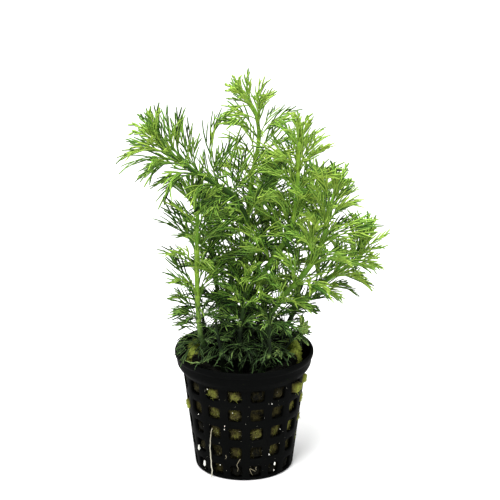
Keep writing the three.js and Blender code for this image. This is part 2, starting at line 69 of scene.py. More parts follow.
SHOOTS = {
    "tall": Shoot(
        ((-1, 8, 35), (-1, 8, 46), (-0.5, 8, 67), (1, 9, 86), (1.5, 10, 103), (3.5, 9, 121),
         (5.8, 7.5, 135), (4.8, 6, 146), (1.8, 4, 152), (-1, 3, 156)),
        radius=1.15, light=0.03, stem=0.42, fresh=0.8, room=(33, 64)),
    "plume": Shoot(
        ((-5.5, 3, 35), (-6, 2, 46), (-6.5, 0, 66), (-6, -2, 77), (0.8, -5, 96), (0.4, -5, 108),
         (-4.7, -7, 117), (-14.7, -10, 125), (-23.6, -12, 131.5), (-30.5, -13, 137.5),
         (-34, -13.5, 142)),
        radius=1.2, light=-0.11, stem=0.14, fresh=0.4, sag=0.22, room=(33, 47)),
    "left": Shoot(
        ((-13, -3, 35), (-14.5, -4, 46), (-17.7, -5, 59.5), (-18.6, -8, 80), (-18.5, -10, 100),
         (-18.2, -10, 111), (-19.5, -9, 117)),
        radius=1.15, light=-0.05, stem=0.68, fresh=-1, dark_below=46, room=(30, 75)),
    "centre": Shoot(
        ((2.5, 1, 35), (2.5, 0, 46), (3.2, -3, 69), (7.5, -5, 83), (14.6, -7, 95.5),
         (19, -5.5, 104), (21, -3, 118), (21.2, -2, 130), (21.8, -1.5, 139)),
        radius=1.2, light=0.06, stem=0.4),
    "right": Shoot(
        ((7, -6, 35), (8, -7, 46), (9.5, -9, 64), (15, -10, 75), (24.8, -12, 87.5),
         (30.5, -11.5, 99), (33, -10, 111), (36, -9, 120)),
        radius=1.25, stem=0.42, fresh=0.7, room=(25, 38), side=(0.7, 215, 12)),
    "far_right": Shoot(
        ((12.5, 0.5, 35), (13.5, 0, 46), (18.4, 0, 62), (26, 0, 73), (37, 1, 81.5),
         (44.5, 1, 87), (47.4, 1, 92), (48, 1, 97.5)),
        radius=1.15, light=0.07, stem=0.48, fresh=0.7, room=(25, 38), side=(0.72, 95, 11)),
    "back_left": Shoot(
        ((-7.5, 10, 35), (-8, 11, 46), (-10, 14, 64), (-13, 20, 80), (-14, 23, 95),
         (-12, 24, 104)),
        light=-0.13, room=(33, 38)),
    "back_right": Shoot(
        ((5, 11, 35), (5.5, 11.5, 46), (8, 15, 64), (13.5, 20, 80), (20, 24, 96),
         (27, 26, 107), (30, 26, 112)),
        light=-0.02),
    "back": Shoot(
        ((0, 14, 35), (0, 14.5, 46), (2, 17, 64), (6.5, 19, 84), (10.5, 18, 104),
         (12, 16.5, 119)),
        light=-0.04),
    "short_centre": Shoot(
        ((-1.5, -6.5, 35), (-1.5, -8, 46), (-1.6, -12, 60), (0, -13, 75), (1.2, -13, 86)),
        radius=0.95, stem=0.14, thin=0.4, room=(42, 60)),
    "low_front_left": Shoot(
        ((-8, -9, 35), (-8.3, -11, 44), (-8.9, -13.5, 53), (-10.6, -13.5, 61), (-11.2, -13, 68)),
        radius=0.95, light=-0.02, stem=0.1, spot=53, thin=1, room=(180, 120)),
    "low_front_right": Shoot(
        ((4, -12, 35), (6, -14, 44), (9.8, -16.5, 53), (10, -15, 60), (10.3, -14, 67)),
        radius=0.95, light=-0.06, stem=0.08, spot=53, thin=1, room=(180, 120)),
    "low_right": Shoot(
        ((13.2, -6, 35), (13.6, -6, 44), (15.2, -5.5, 50), (19.6, -4.5, 56), (23.5, -4, 61)),
        radius=0.95, light=0.42, stem=0.5),
    "low_left": Shoot(
        ((-13.5, 4.5, 35), (-14, 5, 44), (-16, 6, 54), (-17, 7, 64)),
        radius=0.95, light=0.1, stem=0.4, thin=0.8, room=(120, 60)),
}
# A side shoot's course, as shares of its reach away from the stem and along it, and its thickness as
# a share of the stem's.
SIDE_SHOOT_ROUTE = ((0, 0), (0.4, 0.25), (0.6, 0.8))
SIDE_SHOOT_THICKNESS = 0.57

# Thin leaves that lie over the pot's edge: a tone and a route from the stem to the tip.
EDGE_LEAVES = {
    "left": (
        (0.72, ((-16.6, -4.7, 55), (-19, -2.2, 56), (-21.6, 0, 55.7), (-23.8, 1, 54.9),
                (-25.4, 1, 53.4), (-26.3, 0, 52))),
        (0.5, ((-17, -4.8, 56.5), (-19, -4.5, 58), (-21.6, -4, 59.6), (-24.2, -4, 61),
               (-27, -4, 61.3))),
    ),
    "low_left": (
        (0.62, ((-15.6, 5.8, 52.5), (-19, 4, 54.4), (-22, 1.5, 54.4), (-24, 0, 53.2),
                (-24.6, -1.5, 51.8), (-24, -3.5, 50.8), (-22.8, -5, 50.6))),
    ),
    "low_front_left": (
        (0.62, ((-8.9, -13.8, 53), (-12.7, -16.2, 52.2), (-16.3, -17.7, 51), (-20.3, -17.4, 50.5),
                (-22.6, -15.8, 50.5), (-24.3, -14, 50.7))),
        (0.2, ((-9, -14, 52.8), (-13, -17, 52.8), (-16.6, -18.8, 51.8), (-18.8, -20.2, 50.7),
               (-19.7, -21.2, 48.6))),
        (0.16, ((-8.9, -14, 52.8), (-9.6, -18, 53), (-10.9, -21.2, 52), (-12, -23.4, 50.9))),
        (0.14, ((-8.7, -14, 52.8), (-7, -18, 53.2), (-5, -21.4, 52), (-4, -23.5, 50.6))),
    ),
    "low_front_right": (
        (0.22, ((9.8, -16.7, 53), (12.4, -19, 53), (14.4, -20.8, 52), (15.4, -22, 50.9))),
        (0.16, ((9.6, -16.7, 53), (7, -19.5, 53.4), (4.6, -21.6, 52.4), (3, -23, 51))),
        (0.26, ((9.9, -16, 57), (8.6, -18.4, 55.4), (8, -20, 53), (6.6, -21.5, 51.4))),
    ),
}
# Feathery leaves at the foot of a shoot, from the stem to the tip.
FOOT_LEAVES = {
    "left": (
        ((-18.3, -7, 72), (-28.5, -8, 75.5)),
        ((-18, -6, 66), (-28, -8, 69.5)),
        ((-18, -6, 66), (-27.3, -3, 67)),
        ((-17.8, -5.5, 62), (-26.8, -8, 64)),
        ((-17.7, -5, 59.5), (-25.5, -6, 60.5)),
        ((-17.7, -5, 59.5), (-25, -1, 62)),
        ((-17.9, -5.5, 63), (-23, -11, 67)),
        ((-17.9, -5.5, 64), (-11, -10, 69)),
    ),
}
# The broad lobes of a young crown and of the bud beside it: the foot of each, and a tone, a middle
# and a tip for every lobe.
CROWN_LOBES = {
    "low_right": {
        (22.4, -4, 56.8): (
            (0.84, (24.5, -5, 60.7), (25.8, -4.5, 63.4)),
            (0.88, (24.9, -5, 59.8), (26.9, -4.5, 61.5)),
            (0.78, (24.5, -5, 58.5), (25.9, -4.5, 58.9)),
            (0.82, (23.5, -5, 60.6), (23.8, -4.5, 63.1)),
            (0.72, (22.2, -5, 59.9), (21.2, -4.5, 61.6)),
        ),
        (16.9, -8, 58.6): (
            (0.7, (16.6, -9, 60.7), (15.4, -8.5, 61.6)),
            (0.76, (17.6, -9, 60.8), (17.5, -8.5, 61.9)),
            (0.66, (18.2, -9, 60.1), (19, -8.5, 60.2)),
        ),
    },
}
# The outline of the bunch from the front, from the pot's left edge round to its right one: how far
# across and how high each place looks. What stands further back looks higher by a share of that.
SEEN_RISE = 0.358
OUTLINE = (
    (-28, 40), (-28, 55), (-30, 71), (-32, 86), (-37, 90), (-33, 94), (-35, 101), (-35, 108),
    (-30, 117), (-39, 121), (-44, 124), (-51, 128), (-51, 135), (-48, 141), (-43, 149), (-37, 153),
    (-24, 155), (-23, 147), (-20, 145), (-17, 137), (-17, 132), (-16, 127), (-11, 130), (-8, 137),
    (-10, 143), (-8, 157), (-9, 161), (-3, 166), (2, 169), (8, 166), (13, 161), (13, 156),
    (19, 154), (25, 151), (30, 146), (36, 140), (35, 131), (44, 128), (42, 123), (47, 117),
    (45, 112), (56, 106), (61, 98), (56, 92), (56, 84), (49, 82), (54, 72), (37, 72), (29, 70),
    (25, 66), (27, 59), (26, 40),
)
# The side from which the light falls on the leaves, and where the leaves turn their faces.
LIT_SIDE = Vector((-0.6, 0, 0.8))
FRONT = Vector((-0.1, -0.9, 0.4)).normalized()


def mix(a, b, t):
    return a + (b - a) * t


def clamp(x, low=0.0, high=1.0):
    return max(low, min(high, x))


def rise(x, low, high):
    """0 up to a low value and 1 from a high one, with a smooth step between them."""
    t = clamp((x - low) / (high - low))
    return t * t * (3 - 2 * t)


def polar(angle, r, z=0.0):
    """A place at an angle in radians round the pot's axis."""
    return Vector((r * cos(angle), r * sin(angle), z))


def bands(rings):
    """The four-sided faces between rings of points that follow each other."""
    for lower, upper in zip(rings, rings[1:]):
        for n in range(len(lower)):
            m = (n + 1) % len(lower)
            yield lower[n], lower[m], upper[m], upper[n]


def within_outline(point):
    """Whether a place lies inside the bunch's outline."""
    x, height = point.x, point.z + SEEN_RISE * point.y
    inside = False
    for (xa, za), (xb, zb) in zip(OUTLINE, OUTLINE[1:] + OUTLINE[:1]):
        if (za > height) != (zb > height) and x < xa + (xb - xa) * (height - za) / (zb - za):
            inside = not inside
    return inside


class Line:
    """A smooth line through the points of a route, measured along its length from 0 to 1."""

    def __init__(self, route, samples=200):
        knots = [Vector(p) for p in route]
        self.points = []
        for i in range(samples + 1):
            t = i / samples * (len(knots) - 1)
            k = min(int(t), len(knots) - 2)
            w = t - k
            p1, p2 = knots[k], knots[k + 1]
            p0 = knots[k - 1] if k else p1 * 2 - p2
            p3 = knots[k + 2] if k + 2 < len(knots) else p2 * 2 - p1
            m1, m2 = (p2 - p0) / 2, (p3 - p1) / 2
            self.points.append(
                p1 * (2 * w**3 - 3 * w**2 + 1) + m1 * (w**3 - 2 * w**2 + w)
                + p2 * (3 * w**2 - 2 * w**3) + m2 * (w**3 - w**2)
            )
        steps = [(b - a).length for a, b in zip(self.points, self.points[1:])]
        self.runs = np.concatenate([[0], np.cumsum(steps)])
        self.length = float(self.runs[-1])
        self.array = np.array(self.points)

    def at(self, share):
        run = clamp(share) * self.length
        k = min(int(np.searchsorted(self.runs, run, side="right")) - 1, len(self.points) - 2)
        w = (run - self.runs[k]) / (self.runs[k + 1] - self.runs[k])
        return self.points[k].lerp(self.points[k + 1], w)

    def along(self, share):
        return (self.at(share + 0.004) - self.at(share - 0.004)).normalized()

    def nearest(self, point):
        """(distance, share) of the nearest place on the line."""
        gaps = np.linalg.norm(self.array - np.array(point), axis=1)
        k = int(gaps.argmin())
        return float(gaps[k]), float(self.runs[k] / self.length)


def lines_of(shoot):
    """The middle lines and radii of a shoot's stem and, if it has one, of its side shoot."""
    main = Line(shoot.route)
    lines = [(main, shoot.radius)]
    if shoot.side:
        at, turn, reach = shoot.side
        along = main.along(at)
        out = TO_BACK.cross(along).normalized()
        out.rotate(Quaternion(along, radians(turn)))
        start = main.at(at)
        route = [start + (out * o + along * a) * reach for o, a in SIDE_SHOOT_ROUTE]
        lines.append((Line(route), shoot.radius * SIDE_SHOOT_THICKNESS))
    return lines


class Build:
    """Collects closed shells, with a tone for each point."""

    def __init__(self):
        self.points, self.faces, self.tones = [], [], []

    def add(self, point, tone):
        self.points.append(point * MM)
        self.tones.append(tone)
        return len(self.points) - 1

    def thread(self, line, widths, facing, tones, flat=0.5, ridge=0.0):
        """A thin strand of three sides that ends in a point, with a painted highlight along its ridge
        and on the side towards the light, and painted shade on its other side and along its lower
        edges."""
        rings = []
        last = len(line) - 1
        for i in range(last):
            ahead = (line[i + 1] - line[max(i - 1, 0)]).normalized()
            side = facing.cross(ahead).normalized()
            up = ahead.cross(side)
            w = widths[i] / 2
            h = widths[i] * flat / 3
            # Painted light and shade: the corner towards LIT_SIDE is lighter and the other one darker,
            # and the ridge is lighter than both lower corners.
            lit = ridge * clamp(1.6 * side.dot(LIT_SIDE), -1, 1)
            rings.append([
                self.add(line[i] + side * w - up * h, tones[i] + 1.5 * lit - 0.5 * ridge),
                self.add(line[i] + up * (2 * h), tones[i] + 0.8 * ridge),
                self.add(line[i] - side * w - up * h, tones[i] - 1.5 * lit - 0.5 * ridge),
            ])
        self.faces.append(rings[0][::-1])
        self.faces += bands(rings)
        tip = self.add(line[last], tones[last])
        for n in range(3):
            self.faces.append([rings[-1][n], rings[-1][(n + 1) % 3], tip])

    def tube(self, line, radii, tones, sides=8, wobble=0.0):
        """A round tube, closed at both ends."""
        rings = []
        side = None
        last = len(line) - 1
        for i, point in enumerate(line):
            ahead = (line[min(i + 1, last)] - line[max(i - 1, 0)]).normalized()
            base = side if side is not None else ahead.orthogonal()
            side = (base - ahead * base.dot(ahead)).normalized()
            up = ahead.cross(side)
            ring = []
            for n in range(sides):
                a = 2 * pi * n / sides
                spoke = side * cos(a) + up * sin(a)
                r = radii[i]
                if wobble:
                    r *= 1 + wobble * noise.noise((point + spoke) * 0.9)
                ring.append(self.add(point + spoke * r, tones[i]))
            rings.append(ring)
        self.faces += [rings[0][::-1], rings[-1], *bands(rings)]

    def finish(self, name, material, nodes):
        mesh = bpy.data.meshes.new(name)
        mesh.from_pydata([tuple(p) for p in self.points], [], self.faces)
        attribute = mesh.attributes.new("tone", "FLOAT", "POINT")
        attribute.data.foreach_set("value", np.array(self.tones, np.float32))
        place(name, mesh, material, nodes)


def place(name, mesh, material, nodes):
    """Puts a mesh into the scene as a piece of the part."""
    mesh.shade_smooth()
    mesh.materials.append(material)
    piece = bpy.data.objects.new(name, mesh)
    scene.collection.objects.link(piece)
    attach(piece, "root")
    if nodes:
        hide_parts(*nodes)


# Materials


class Nodes:
    """A new material, with short ways to add nodes to it. The value of a node's input is a number,
    some numbers or another node's output."""

    def __init__(self, name, specular):
        self.material = bpy.data.materials.new(name)
        self.material.use_nodes = True
        self.tree = self.material.node_tree
        self.shader = self.tree.nodes["Principled BSDF"]
        self.fill(self.shader, {"Specular IOR Level": specular})
        self.place = self.add("TexCoord", "Object", {})

    def fill(self, node, values):
        for name, value in values.items():
            if isinstance(value, bpy.types.NodeSocket):
                self.tree.links.new(value, node.inputs[name])
            else:
                node.inputs[name].default_value = value

    def add(self, kind, output, values, **settings):
        """Adds a node and returns one of its outputs."""
        node = self.tree.nodes.new("ShaderNode" + kind)
        for name, setting in settings.items():
            setattr(node, name, setting)
        self.fill(node, values)
        return node.outputs[output]

    def noise(self, scale, detail=3.0, roughness=0.5, stretch=None):
        spot = self.place
        if stretch:
            spot = self.add("Mapping", "Vector", {"Vector": spot, "Scale": stretch})
        values = {"Vector": spot, "Scale": scale, "Detail": detail, "Roughness": roughness}
        return self.add("TexNoise", "Fac", values)

    def math(self, operation, a, b, clamped=False):
        return self.add("Math", 0, {0: a, 1: b}, operation=operation, use_clamp=clamped)

    def scaled(self, value, factor, base):
        return self.math("ADD", self.math("MULTIPLY", value, factor), base)

    def about_zero(self, value, factor):
        return self.math("MULTIPLY", self.math("SUBTRACT", value, 0.5), factor)

    def tone(self, a, b):
        """The piece's own tone, with two variations from place to place."""
        tone = self.add("Attribute", "Fac", {}, attribute_name="tone")
        return self.math("ADD", tone, self.math("ADD", a, b), clamped=True)

    def ramp(self, value, *stops):
        node = self.tree.nodes.new("ShaderNodeValToRGB")
        elements = node.color_ramp.elements
        while len(elements) < len(stops):
            elements.new(0.5)
        for element, (position, *colour) in zip(elements, stops):
            element.position = position
            element.color = (*colour, 1)
        self.fill(node, {"Fac": value})
        return node.outputs["Color"]

    def surface(self, colour, roughness, height, distance, strength):
        """The material, with a colour and roughness and with a bump of a height."""
        bump = {"Height": height, "Distance": distance, "Strength": strength}
        normal = self.add("Bump", "Normal", bump)
        self.fill(self.shader, {"Base Color": colour, "Roughness": roughness, "Normal": normal})
        return self.material


# The leaves differ a little in hue from place to place, round a neutral hue of one half. Those near
# the pot are duller, by up to DULLNESS, and full colour is reached DULL_DEPTH above a height.
HUE_PATCHES = 0.07
HUE_SHIFT = 0.508
DULLNESS = 0.2
DULL_BELOW = 50
DULL_DEPTH = 28


def foliage_material(name, specular, *stops):
    n = Nodes(name, specular)
    value = n.tone(n.about_zero(n.noise(260, 4), 0.35), n.about_zero(n.noise(1500, 2), 0.2))
    height = n.add("SeparateXYZ", "Z", {"Vector": n.place})
    above = n.math("SUBTRACT", height, DULL_BELOW * MM)
    share = n.math("DIVIDE", above, DULL_DEPTH * MM, clamped=True)
    patches = n.about_zero(n.noise(130, 2), HUE_PATCHES)
    colour = n.add("HueSaturation", "Color", {
        "Color": n.ramp(value, *stops),
        "Hue": n.math("ADD", patches, HUE_SHIFT),
        "Saturation": n.scaled(share, DULLNESS, 1 - DULLNESS),
    })
    roughness = n.scaled(n.noise(900, 2), 0.25, 0.45)
    return n.surface(colour, roughness, n.noise(2600, 2), 0.00006, 0.5)


def plastic_material():
    n = Nodes("black_pot_plastic", 0.004)
    film = n.noise(60, 5, 0.6)
    colour = n.ramp(
        film,
        (0.3, 0.0023, 0.0025, 0.0024),
        (0.62, 0.0031, 0.0033, 0.0032),
        (0.85, 0.0046, 0.0052, 0.0040),
    )
    return n.surface(colour, n.scaled(film, 0.4, 0.25), n.noise(420, 4, 0.6), 0.0002, 0.4)


def wool_material():
    n = Nodes("mineral_wool", 0.08)
    fibres = n.noise(1100, 5, 0.7, (1, 1, 0.35))
    colour = n.ramp(
        n.tone(n.about_zero(n.noise(190, 4), 0.4), n.about_zero(fibres, 0.7)),
        (0.0, 0.003, 0.003, 0.002),
        (0.3, 0.05, 0.043, 0.014),
        (0.55, 0.17, 0.18, 0.035),
        (0.8, 0.31, 0.38, 0.06),
        (1.0, 0.46, 0.56, 0.10),
    )
    return n.surface(colour, 0.95, fibres, 0.0006, 0.9)


def root_material():
    n = Nodes("white_root", 0.5)
    colour = n.ramp(
        n.tone(n.math("MULTIPLY", n.noise(500, 4), 0.5), 0.0),
        (0.2, 0.23, 0.20, 0.12),
        (0.6, 0.55, 0.53, 0.42),
        (1.0, 0.86, 0.86, 0.78),
    )
    return n.surface(colour, n.scaled(n.noise(800), 0.3, 0.35), n.noise(1800, 3), 0.0001, 0.5)


# A ramp's stops are a place and the red, green and blue there.
LEAF = foliage_material(
    "pond_leaf", 0.12,
    (0.0, 0.009, 0.017, 0.005),
    (0.25, 0.039, 0.084, 0.012),
    (0.5, 0.107, 0.215, 0.028),
    (0.75, 0.208, 0.340, 0.042),
    (1.0, 0.34, 0.48, 0.072),
)
STEM = foliage_material(
    "pond_stem", 0.08,
    (0.0, 0.005, 0.010, 0.003),
    (0.3, 0.03, 0.065, 0.010),
    (0.6, 0.16, 0.29, 0.030),
    (1.0, 0.36, 0.52, 0.06),
)
PLASTIC = plastic_material()
WOOL = wool_material()
ROOT = root_material()


# Shoots


def corners_of(mesh):
    """The corners of a mesh, each once, and for each the ones next to it."""
    co = np.zeros(len(mesh.vertices) * 3)
    mesh.vertices.foreach_get("co", co)
    places, ids = {}, []
    for row in np.round(co.reshape(-1, 3) / MM, 3):
        ids.append(places.setdefault(tuple(row), len(places)))
    near = [set() for _ in places]
    for edge in mesh.edges:
        a, b = (ids[v] for v in edge.vertices)
        near[a].add(b)
        near[b].add(a)
    return [Vector(p) for p in places], near


def leaves_of(name):
    """The leaves of a CAD shoot, each as its base, bend and tip and the direction across it. Such a
    leaf is a blade of seven corners: four at its base, two at its bend and its tip."""
    points, near = corners_of(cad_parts["shoot_" + name].data)

    def gap(a, b):
        return (points[a] - points[b]).length

    found = []
    busy = [k for k in range(len(points)) if len(near[k]) == 4]
    for tip in busy:
        for right in near[tip].intersection(busy):
            shared = near[tip] & near[right]
            own_a = near[tip] - shared - {right}
            own_c = near[right] - shared - {tip}
            if len(shared) != 2 or len(own_a) != 1 or len(own_c) != 1:
                continue
            (a,), (c,) = own_a, own_c
            b, left = sorted(shared, key=lambda v: gap(v, a))
            rest = near[left] - {a, c, right, tip}
            if len(rest) != 1 or gap(tip, a) < max(3, 1.2 * gap(right, c)) or gap(a, b) > 2:
                continue
            (d,) = rest
            found.append({
                "base": (points[a] + points[b] + points[c] + points[d]) / 4,
                "bend": (points[left] + points[right]) / 2,
                "tip": points[tip],
                "across": (points[right] - points[left]).normalized(),
            })
    return found


# A feathery leaf's shape. A pair is the least and the most of what varies from leaf to leaf, or for
# SEGMENTS from a short leaf to one of FULL_LENGTH. The bare stalk is a share of the leaf, for usual,
# old and young ones. Strides, places and tapers run from a segment's foot to its tip.
FULL_LENGTH = 20
USUAL_LENGTH = 18
STALKS = (0.27, 0.5, 0.14)
RIB_STEPS = 8
RIB_WIDTH = 0.42
RIB_SWELL = 0.18
SEGMENTS = (4, 7)
SEGMENT_ANGLES = (15, 22)
SEGMENT_REACHES = (0.5, 0.64)
SEGMENT_WIDTHS = (0.57, 0.74)
SEGMENT_STRIDES = (0.28, 0.34, 0.3, 0.08)
SEGMENT_PLACES = (0, 0.28, 0.62, 0.92, 1)
SEGMENT_TAPER = (0.85, 1, 0.95, 0.68)
FORK_ANGLES = (14, 21)
FORK_TAPER = (0.85, 0.9, 0.6)
OLD_WIDTH = 0.5
TONE_RANGE = 0.19


def facing_front(leaf, axis, rng):
    """The direction across a leaf, turned so that its face looks more or less to the front."""
    across = (leaf["across"] - axis * leaf["across"].dot(axis)).normalized()
    front = (FRONT - axis * FRONT.dot(axis)).normalized()
    twist = atan2(front.dot(across), -front.dot(axis.cross(across)))
    twist = (twist + pi / 2) % pi - pi / 2
    across.rotate(Quaternion(axis, twist * rng.uniform(0.4, 1.0) + rng.uniform(-0.3, 0.3)))
    return across


def rib_of(leaf, across, rng, young, sag):
    """The course of a leaf's rib, which is bent like the leaf, sways to a side and hangs a little."""
    base, tip = leaf["base"], leaf["tip"]
    arm = tip - base
    middle = (base + tip) / 2
    control = middle + (leaf["bend"] - middle) * mix(2.9, 2.2, young)
    sway = across * rng.uniform(-0.12, 0.12) * arm.length
    hang = mix(max(sag, 0.07), sag * 0.5, young)
    droop = -UP * arm.length * hang * (1 - abs(arm.normalized().z))

    def on_rib(t):
        bezier = base * (1 - t) ** 2 + control * (2 * t * (1 - t)) + tip * t * t
        return bezier + sway * (t * t * (1 - t) * 4) + droop * (t * t)

    return on_rib


def fork(build, line, width, face, hand, onward, shades, rng):
    """A shorter point beside a segment."""
    root = line[0].lerp(line[2], rng.uniform(0.4, 0.8))
    branch = (line[2] - line[1]).normalized()
    branch.rotate(Quaternion(face, radians(rng.uniform(*FORK_ANGLES)) * hand))
    size = (line[4] - root).length * rng.uniform(0.75, 0.95)
    elbow = root + branch * size * 0.5
    branch = (branch + onward * 0.2).normalized()
    near_end = elbow + branch * size * 0.4
    points = [root, elbow, near_end, near_end + branch * size * 0.1]
    build.thread(points, [width * w for w in FORK_TAPER], face, shades, ridge=0.3)


def frond(build, leaf, rng, tone, young, low, sag):
    """A feathery leaf: a bare stalk, then a comb of segments on both sides of a rib, which lean
    forward and sometimes fork. Young leaves are short-lobed and broad, and old ones thin."""
    arm = leaf["tip"] - leaf["base"]
    span = arm.length
    axis = arm.normalized()
    across = facing_front(leaf, axis, rng)
    face = across.cross(axis)
    on_rib = rib_of(leaf, across, rng, young, sag)
    stalk, old_stalk, young_stalk = STALKS
    bare = mix(mix(stalk, old_stalk, low), young_stalk, young) + rng.uniform(-0.05, 0.05)
    grown = mix(1.0, OLD_WIDTH, low) * clamp(span / USUAL_LENGTH, 0.86)
    broad = mix(grown, 1.0, young) + 0.3 * young**4
    to_tip = rng.uniform(-0.2, 0.1)
    painted_half_light = rng.uniform(-TONE_RANGE, TONE_RANGE)
    shares = [k / RIB_STEPS for k in range(RIB_STEPS + 1)]
    widths = [(RIB_WIDTH + RIB_SWELL * exp(-((t - 0.4) / 0.22) ** 2)) * broad for t in shares]
    tones = [tone + 0.07 + 0.12 * low + to_tip * t for t in shares]
    build.thread([on_rib(t) for t in shares], widths, face, tones, ridge=0.24)
    full = mix(*SEGMENTS, clamp(span / FULL_LENGTH)) * mix(1, 0.65, low)
    count = round(full + rng.uniform(-0.7, 0.7))
    spread = rng.uniform(*SEGMENT_ANGLES)
    longest = rng.uniform(*SEGMENT_REACHES) * mix(1, 0.75, low)
    fold = rng.uniform(-0.2, 0.3)
    onward = (on_rib(1) - on_rib(0.85)).normalized()
    for i in range(count):
        u = (i + rng.uniform(0.38, 0.62)) / count
        t = mix(bare, 0.94, u)
        hand = 1 if i % 2 else -1
        forward = (on_rib(min(1, t + 0.05)) - on_rib(t - 0.02)).normalized()
        side = (across - forward * across.dot(forward)).normalized() * hand
        lift = face * (fold + rng.uniform(-0.2, 0.2))
        reach = span * mix(longest * (1 - 0.5 * u), mix(0.42, 0.17, u), young)
        reach *= rng.uniform(0.9, 1.12)
        angle = radians(spread * (1 - 0.3 * u) + rng.uniform(-3, 3))
        heading = (forward * cos(angle) + (side + lift) * sin(angle)).normalized()
        line = [on_rib(t)]
        for stride in SEGMENT_STRIDES:
            line.append(line[-1] + heading * (reach * stride))
            heading = (heading + onward * 0.16).normalized()
        width = rng.uniform(*SEGMENT_WIDTHS) * broad
        # Painted light and shade: one half of the comb is lighter than the other, as a lit side and a
        # shaded side, and each segment's tone also differs at random.
        light = hand * painted_half_light + rng.uniform(-TONE_RANGE, TONE_RANGE) * (1 + 0.6 * low) - 0.05 * low
        shades = [tone + light + 0.07 + to_tip * mix(t, 1, s) for s in SEGMENT_PLACES]
        build.thread(line, [width * w for w in SEGMENT_TAPER], face, shades, ridge=0.38)
        if u <= mix(0.72, 0.3, young) and rng.random() >= 0.55 + 0.3 * low:
            fork(build, line, width, face, hand, onward, shades[1:], rng)


def side_lobe(build, start, ahead, up, lean, reaches, widths, tone, ridge):
    """A short segment beside a leaf, which leans to one side and then bends forward."""
    heading = (ahead + up.cross(ahead).normalized() * lean).normalized()
    middle = start + heading * reaches[0]
    end = middle + (heading + ahead * 0.3).normalized() * reaches[1]
    build.thread([start, middle, end], widths, up, [tone] * 3, ridge=ridge)


def edge_leaf(build, route, tone, rng):
    """A thin leaf along a route, with a few short segments beside its outer half."""
    line = Line(route, samples=60)
    up = Vector((0, -0.3, 1)).normalized()
    points = [line.at(k / 9) for k in range(10)]
    widths = [0.36 + 0.14 * sin(pi * k / 8) for k in range(9)]
    tones = [tone + 0.12 * (k / 9 - 0.7) for k in range(10)]
    build.thread(points, widths, up, tones, ridge=0.12)
    for k, hand in ((4, 1), (5, -1), (6, 1)):
        reach = line.length * rng.uniform(0.1, 0.17) * 0.5
        side_lobe(build, points[k], line.along(k / 9), up, 0.55 * hand, (reach, reach),
                  (0.36, 0.36), tone + 0.1, 0.12)


def crown_lobe(build, route, tone):
    """A broad blunt lobe of a young leaf, with a small lobe on either side."""
    line = Line(route, samples=40)
    points = [line.at(k / 6) for k in range(7)]
    up = Vector((-0.2, -0.9, 0.4)).normalized()
    build.thread(points, [0.5, 0.8, 1.05, 1.15, 1.0, 0.6], up, [tone] * 7, ridge=0.16)
    for k, hand in ((2, 1), (3, -1)):
        side_lobe(build, points[k], line.along(k / 6), up, 0.6 * hand, (0.9, 0.8),
                  (0.7, 0.75), tone - 0.04, 0.16)


def foot_leaves(name, line):
    """The feathery leaves at the foot of a shoot, bowed upwards a little."""
    for start, end in FOOT_LEAVES.get(name, ()):
        base, tip = Vector(start), Vector(end)
        arm = tip - base
        yield {
            "base": base,
            "bend": (base + tip) / 2 + UP * (0.08 * arm.length),
            "tip": tip,
            "across": UP.cross(arm).normalized(),
            "line": 0,
            "share": line.nearest(base)[1],
        }


def whorls_of(leaves, lines):
    """The leaves of a shoot by the joint that they grow from, given as its line and its share."""
    groups = {}
    for leaf in leaves:
        spots = [(*line.nearest(leaf["base"]), i) for i, (line, _) in enumerate(lines)]
        _, share, i = min(spots)
        leaf["line"], leaf["share"] = i, share
        length = lines[i][0].length
        key = next((k for k in groups if k[0] == i and abs(k[1] - share) * length < 2), (i, share))
        groups.setdefault(key, []).append(leaf)
    return groups


def turned(leaf, centre, along, turn, tilt, size):
    """A copy of a leaf, turned round its stem, leaned out further by a tilt and resized."""
    round_stem = Quaternion(along, turn)
    across = leaf["across"].copy()
    across.rotate(round_stem)
    lean = Quaternion(across, radians(tilt))
    base = leaf["base"] - centre
    base.rotate(round_stem)
    base += centre

    def move(point):
        arm = (point - leaf["base"]) * size
        arm.rotate(round_stem)
        arm.rotate(lean)
        return base + arm

    return {**leaf, "base": base, "bend": move(leaf["bend"]), "tip": move(leaf["tip"]),
            "across": across}


# Within CROWN_DEPTH of the growing tip a crown gets a bud of small upright leaves. Within UPPER_DEPTH
# of it, a gap of UPPER_ROOM takes one more leaf.
CROWN_DEPTH = 4
UPPER_DEPTH = 10
UPPER_ROOM = 80


def with_fillers(groups, lines, rng, rooms):
    """The leaves of a shoot, with more between those of the CAD where a whorl has room."""
    everything = []
    for (i, share), leaves in groups.items():
        everything += leaves
        line = lines[i][0]
        centre, along = line.at(share), line.along(share)
        from_tip = (1 - share) * line.length
        if from_tip < CROWN_DEPTH:
            everything += [turned(leaf, centre, along, 0.5, -12, 0.45) for leaf in leaves[::2]]
            continue
        room = UPPER_ROOM if from_tip < UPPER_DEPTH else mix(*rooms, rise(centre.z, 60, 85))
        side = TO_BACK.cross(along).normalized()
        front = along.cross(side)
        taken = []
        for leaf in leaves:
            out = leaf["tip"] - centre
            taken.append((atan2(out.dot(front), out.dot(side)) % (2 * pi), leaf))
        taken.sort(key=lambda pair: pair[0])
        for k, (angle, leaf) in enumerate(taken):
            after, other = taken[(k + 1) % len(taken)]
            gap = (after - angle) % (2 * pi) or 2 * pi
            count = int(gap / radians(room))
            for n in range(1, count + 1):
                part = n / (count + 1)
                source, turn = (leaf, gap * part) if part < 0.5 else (other, -gap * (1 - part))
                turn += rng.uniform(-0.12, 0.12)
                tilt = rng.uniform(-12, 8)
                everything.append(turned(source, centre, along, turn, tilt, rng.uniform(0.75, 1.0)))
    return everything


